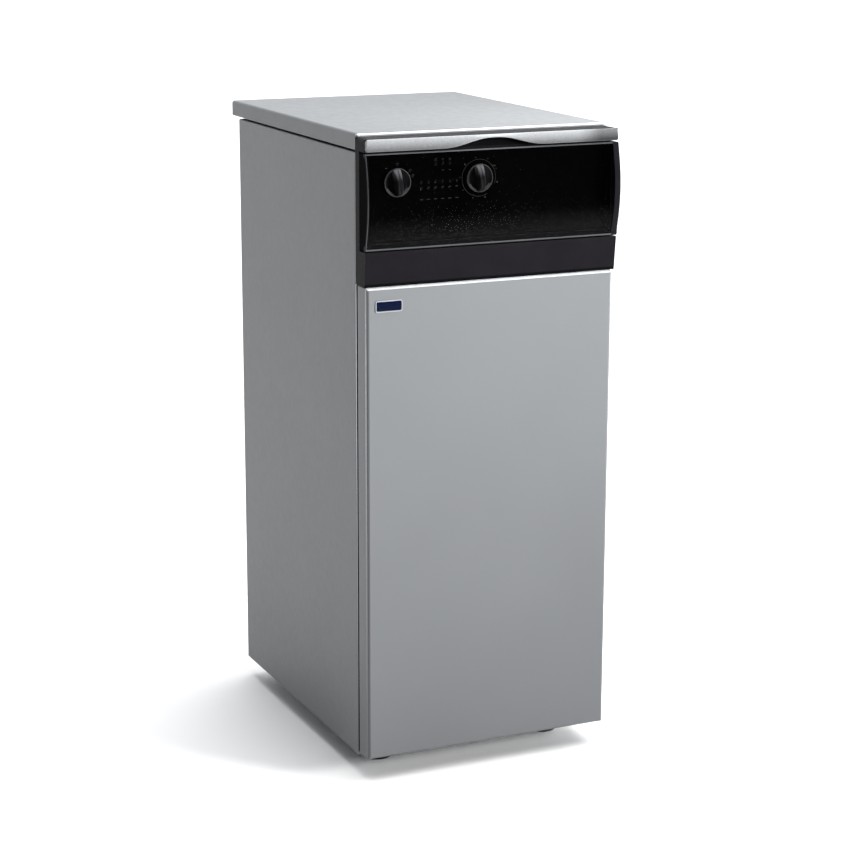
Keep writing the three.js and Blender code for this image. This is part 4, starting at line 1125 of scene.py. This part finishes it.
def jacket():
    low, high = limits("insulation_jacket")
    inside, outside, rear = 115.6, high[0], high[1]
    bm = bmesh.new()
    for sign in (-1, 1):
        quilt(bm, "x", low[1:], high[1:], *sorted((sign * outside, sign * inside)), 7, 1.6)
    quilt(bm, "y", (-inside, low[2]), (inside, high[2]), rear - 13, rear, 6, 1.6)
    replacement("insulation_jacket", bm, [WOOL])
    across = outside + 0.5
    run = [(-across, low[1] + 6), (-across, rear + 0.4), (across, rear + 0.4), (across, low[1] + 6)]
    back = [(u * (1 - 0.9 / abs(u)), v - (0.8 if v > 0 else 0)) for u, v in run]
    bm = bmesh.new()
    for z in (190, 350, 510):
        prism(bm, "z", run + back[::-1], z - 8, z + 8)
    piece("jacket_straps", bm, "casing", "zinc_sheet", bevel=0.2)


def hood():
    refined("flue_collector", 1.2, steps=3)
    low, high = limits("flue_collector")
    top = high[2]
    bm = bmesh.new()
    for x in (low[0] + 12, 0, high[0] - 12):
        for y in (low[1] + 12, 136):
            screw(bm, "z", (x, y), top, 1, 4)
    for x in (-60, 60):
        swell(bm, "z", [((x - 5, low[1] + 30), (x + 5, 118), 4.9, top - 0.5),
                        ((x - 2.4, low[1] + 33), (x + 2.4, 115), 2.3, top + 1.8)], 5, 1)
    piece("collector_screws", bm, "casing", "hood_steel", [ZINC, HOOD])

    refined("draught_diverter", 1.2, steps=3)
    low, high = limits("draught_diverter")
    x, z = 0, 735
    box_rear = 262
    skin = box_rear - 0.4, box_rear + 0.9
    bm = bmesh.new()
    for y in (box_rear + 10, high[1] - 6):
        bead = from_level(y, (64.4, -3), (65.6, -2), (66.6, 0), (65.6, 2), (64.4, 3))
        lathe(bm, "y", (x, z), bead, 72, closed=True)
    collar = from_level(box_rear, (64.2, -0.4), (73, -0.4), (73, 0.9), (66, 1.6), (64.2, 3))
    lathe(bm, "y", (x, z), collar, 72, closed=True)
    rivet = from_level(box_rear, (1.9, 0.6), (1.9, 1.5), (1.0, 2.2))
    for place in circle(69.5, 8, (x, z), math.radians(22.5)):
        lathe(bm, "y", place, rivet, 14, material=1)
    for side in (-1, 1):
        edge = side * high[0]
        a, b = sorted((edge, edge - side * 11))
        prism(bm, "y", [(a, low[2] + 2), (b, low[2] + 2), (b, high[2] - 2), (a, high[2] - 2)], *skin)
        for k in range(6):
            screw(bm, "y", (edge - side * 5.5, low[2] + 18 + 38.8 * k), skin[1], 1, 3.2, 1)
    piece("diverter_seams", bm, "casing", "hood_steel", [HOOD, ZINC], angle=40)


# ---------------------------------------------------------------- burner and gas


ELECTRODE_HEIGHT = 190


def burner():
    for i in (1, 2, 3):
        refined(f"burner_bar_{i}", 0.35, angle=35)
        injector(f"injector_{i}")
    refined("burner_support", 0.4)
    burner_plate()

    centre, (low, high) = middle_of("sight_glass"), limits("sight_glass")
    front, rear = low[1], high[1]
    bm = bmesh.new()
    lathe(bm, "y", centre, [(12.4, rear), (12.4, front + 0.8), (10.5, front + 0.5)], 48)
    lathe(bm, "y", centre, [(14, rear), (14, front + 0.6), (13.3, front), (11.6, front), (11, front + 0.6),
                            (11, rear)], 48, closed=True, material=1)
    replacement("sight_glass", bm, [GLASS, ZINC])
    for node in ("ignition_electrode", "flame_sensor"):
        electrode(node)


def injector(node):
    centre, (low, high) = middle_of(node), limits(node)
    front, tip = low[1], high[1]
    bm = bmesh.new()
    nut(bm, "y", centre, front, front + 6.7, 7)
    lathe(bm, "y", centre, [(5, front + 6), (4.4, front + 11), (3.2, tip - 0.5), (2.4, tip), (0.7, tip),
                            (0.7, tip - 4)], 28)
    replacement(node, bm, angle=40)


def burner_plate():
    low, high = limits("burner_plate")
    face = low[1]
    holes = [circle(13.6, 36, middle_of(f"injector_{i}")) for i in (1, 2, 3)]
    holes += [circle(4.4, 20, (middle_of(node)[0], ELECTRODE_HEIGHT))
              for node in ("ignition_electrode", "flame_sensor")]
    holes.append(circle(11, 36, middle_of("sight_glass")))
    bm = bmesh.new()
    sheet(bm, "y", [plate_outline(low, high)] + holes, face, high[1])
    replacement("burner_plate", bm, angle=40)
    bm = bmesh.new()
    for x in (low[0] + 7, high[0] - 7):
        for z in (low[2] + 60, 215, high[2] - 8):
            nut(bm, "y", (x, z), face - 4.4, face, 5.2)
            lathe(bm, "y", (x, z), from_level(face, (3, 0), (3, -7), (2.2, -7.6)), 18)
    for x in (-30, 30):
        nut(bm, "y", (x, high[2] - 8), face - 4.4, face, 5.2)
    piece("burner_plate_nuts", bm, "casing", "zinc_sheet")


def electrode(node):
    """A glazed rod through the plate, with its terminal in front and a bent wire in the flame."""
    (low, high), z = limits(node), ELECTRODE_HEIGHT
    x, front = (low[0] + high[0]) / 2, low[1]
    glaze = [(2.8, -186.4), (4, -184.6), (4, -172), (3.4, -171), (4, -170), (4, -166), (3.4, -165),
             (4, -164), (4, -137), (2.6, -134)]
    wire = [(-135, 0), (-120, 0), (-116, 0.5), (-113.8, 2.4), (-113, 6), (-113, 14)]
    bm = bmesh.new()
    lathe(bm, "y", (x, z), [(2, front), (2, front + 11), (1.4, front + 11.4)], 20, material=1)
    lathe(bm, "y", (x, z), glaze, 28)
    tube(bm, [(x, y, z - drop) for y, drop in wire], 1.2, 14, material=1)
    replacement(node, bm, [CERAMIC, BURNER], angle=40)


DRAIN_HEIGHT = 125


def plate_outline(low, high):
    """Edge of the burner plate, notched round the drain port."""
    x, z, r = middle_of("drain_cock")[0], DRAIN_HEIGHT, 13.0
    left, right, bottom, top = low[0], high[0], low[2], high[2]
    reach = math.acos((left - x) / r)
    turns = [-reach + 2 * reach * i / 10 for i in range(11)]
    notch = [(x + r * math.cos(a), z + r * math.sin(a)) for a in turns]
    return [(left + 2, bottom), (right - 2, bottom), (right, bottom + 2), (right, top - 2), (right - 2, top),
            (left + 2, top), (left, top - 2)] + notch[::-1] + [(left, bottom + 2)]


def gas_train():
    refined("gas_manifold", 1.4, steps=3, angle=35)
    refined("gas_valve", 1.2, steps=3, angle=35)
    low, high = limits("gas_valve")
    face, top = low[1], high[2]
    valve_middle, test_port_height = -214, 394
    bm = bmesh.new()
    for x in (low[0] + 10, high[0] - 30):
        for z in (low[2] + 24, top - 38):
            screw(bm, "y", (x, z), face, -1, 2.6)
    lathe(bm, "z", (low[0] + 17, valve_middle), from_level(top, (12.6, -1), (12.6, 3), (10.5, 5)), 32,
          material=1)
    lathe(bm, "z", (high[0] - 15, valve_middle), from_level(top, (9.6, -7), (9.6, -3), (4, -1.6)), 32,
          material=2)
    lathe(bm, "y", (low[0] + 20, test_port_height),
          from_level(face, (9, 0.5), (9, -2.4), (7.8, -3.2), (4, -3.2), (4, -1.6)), 32, material=1)
    piece("gas_valve_fittings", bm, "casing", "gas_alloy", [ZINC, BLACK, BRASS])

    (x, z), end = gas_centre(), limits("gas_supply_pipe")[1][1]
    bend, y, start = 20.0, -215.0, high[0] + 0.3
    path = [(start, y, z), (x - bend - 2, y, z)]
    path += [(x - bend + bend * math.sin(a), y + bend * (1 - math.cos(a)), z) for a in quarter(10)]
    path += [(x, y + bend + 4, z), (x, 0, z), (x, end - 20, z)]
    bm = bmesh.new()
    tube(bm, path, GAS_PIPE_RADIUS, 32)
    lathe(bm, "y", (x, z), thread(GAS_PIPE_RADIUS, end - 22, end - 0.6, 1.8, 0.7)
          + [(9.4, end), (7.5, end), (7.5, end - 22)], 32, closed=True)
    nut(bm, "x", (y, z), start, start + 8.5, 14, 1)
    replacement("gas_supply_pipe", bm, [TUBE, BRASS], angle=40)


# ---------------------------------------------------------------- water


def water():
    for (node, radius), nut_radius in zip(PIPE_RADIUS.items(), (21, 14.8)):
        centre, (low, high) = middle_of(node), limits(node)
        front, end, bore = low[1], high[1], radius - 3
        bm = bmesh.new()
        lathe(bm, "y", centre, [(bore, front), (radius, front), (radius, end - 26)]
              + thread(radius, end - 25, end - 0.8, 2.3, 0.9)
              + [(radius - 1.4, end), (bore + 0.4, end), (bore, end - 1)], 40, closed=True)
        nut(bm, "y", centre, front, front + 7.9, nut_radius)
        replacement(node, bm, angle=40)
    low, high = limits("drain_cock")
    x, z, front, rear = (low[0] + high[0]) / 2, DRAIN_HEIGHT, low[1], high[1]
    bm = bmesh.new()
    lathe(bm, "y", (x, z), [(6.5, front), (9, front + 1.5), (9, front + 20), (7.8, front + 23),
                            (7.8, rear - 7), (9, rear - 6), (9, rear)], 36)
    nut(bm, "y", (x, z), rear - 6, rear, 12)
    barbs = [(5.2, z - 2), (5.2, z - 14)]
    for k in range(4):
        barbs += [(6, z - 14.6 - 4.6 * k), (4.9, z - 18.8 - 4.6 * k)]
    stem = (x, rear - 28)
    lathe(bm, "z", stem, barbs + [(4.2, low[2])], 28)
    lathe(bm, "z", stem, [(5, z), (5, z + 9), (4, z + 10), (4, high[2])], 28)
    replacement("drain_cock", bm, angle=40)
    refined("drain_lever", 0.9, steps=3)


# ---------------------------------------------------------------- stage

BACKDROP_SIDE = (0.42, 0.85, 0.3)  # the fill comes from this side
BACKDROP_GLOW = (0.1, 0.85, 0.04, 2.0)  # where it begins and is full, and its least and most strength
FLOOR_FRONT = -3200  # the floor reaches past the camera
CAMERA = {"place": (-1252, -2856, 1163), "yaw": 24.41, "pitch": 13.83, "roll": 0.17, "lens": 94.56}


def camera():
    data = bpy.data.cameras.new("camera")
    data.sensor_width, data.lens = 36.0, CAMERA["lens"]
    data.clip_start, data.clip_end = 0.05, 200.0
    made = place_object("camera", data)
    yaw, pitch, roll = (math.radians(CAMERA[key]) for key in ("yaw", "pitch", "roll"))
    ahead = Vector((math.sin(yaw) * math.cos(pitch), math.cos(yaw) * math.cos(pitch), -math.sin(pitch)))
    right = Vector((math.cos(yaw), -math.sin(yaw), 0))
    up = right.cross(ahead)
    right, up = right * math.cos(roll) + up * math.sin(roll), up * math.cos(roll) - right * math.sin(roll)
    turn = Matrix((right, up, -ahead)).transposed().to_4x4()
    made.matrix_world = Matrix.Translation(Vector(CAMERA["place"]) * MM) @ turn
    bpy.context.scene.camera = made


def aim_light(made, direction):
    made.rotation_euler = Vector(direction).to_track_quat("-Z", "Y").to_euler()


def area_light(name, place, aim, size, power, spread):
    """A disc of light, in metres, that leaves no bright spot on glossy faces."""
    data = bpy.data.lights.new(name, "AREA")
    data.shape, data.size, data.energy, data.spread = "DISK", size, power, math.radians(spread)
    made = place_object(name, data)
    made.location = place
    aim_light(made, Vector(aim) - Vector(place))
    made.visible_glossy = False


def lights():
    data = bpy.data.lights.new("overhead", "SUN")
    data.energy, data.angle = 3.15, math.radians(60)
    aim_light(place_object("overhead", data), (-0.25, 0.1, -1))
    area_light("key", (1.9, -2.2, 1.15), (0.0, -0.28, 0.85), 0.9, 18.5, 42)
    area_light("top", (0.24, -0.26, 1.45), (0.16, -0.24, 0.85), 0.3, 0.9, 70)
    world = bpy.data.worlds.new("studio")
    world.use_nodes = True
    nodes, link = world.node_tree.nodes, world.node_tree.links.new
    nodes.clear()
    seen, fill = (nodes.new("ShaderNodeBackground") for _ in range(2))
    seen.inputs["Color"].default_value = (1, 1, 1, 1)
    fill.inputs["Color"].default_value = (0.96, 0.98, 1.0, 1)
    toward = nodes.new("ShaderNodeVectorMath")
    toward.operation = "DOT_PRODUCT"
    toward.inputs[1].default_value = BACKDROP_SIDE
    spread = nodes.new("ShaderNodeMapRange")
    spread.interpolation_type = "SMOOTHSTEP"
    for socket, value in zip(("From Min", "From Max", "To Min", "To Max"), BACKDROP_GLOW):
        spread.inputs[socket].default_value = value
    link(nodes.new("ShaderNodeTexCoord").outputs["Generated"], toward.inputs[0])
    link(toward.outputs["Value"], spread.inputs["Value"])
    link(spread.outputs["Result"], fill.inputs["Strength"])
    choose = nodes.new("ShaderNodeMixShader")
    link(nodes.new("ShaderNodeLightPath").outputs["Is Camera Ray"], choose.inputs[0])
    link(fill.outputs[0], choose.inputs[1])
    link(seen.outputs[0], choose.inputs[2])
    link(choose.outputs[0], nodes.new("ShaderNodeOutputWorld").inputs[0])
    bpy.context.scene.world = world
    bpy.context.scene.view_settings.view_transform = "Standard"


def floor():
    bm = bmesh.new()
    prism(bm, "z", rounded((-30000, FLOOR_FRONT), (30000, 40000), 1500, 12), -40, 0)
    mesh = bpy.data.meshes.new("floor")
    bm.to_mesh(mesh)
    bm.free()
    f = Finish("pale_floor")
    f.colour(f.mix(f.level(f.noise(700, 3), 0, 1), grey(0.90), grey(0.93)))
    f.rough(f.level(f.noise(300, 3), 0.75, 0.85))
    mesh.materials.append(f.material)
    place_object("floor", mesh)


for build in (camera, lights, floor, side_panels, rear_panel, lid, base, feet, door, badge, fascia, trim_bar,
              control_plate, flap, knobs, control_internals, exchanger, burner, gas_train, water):
    build()
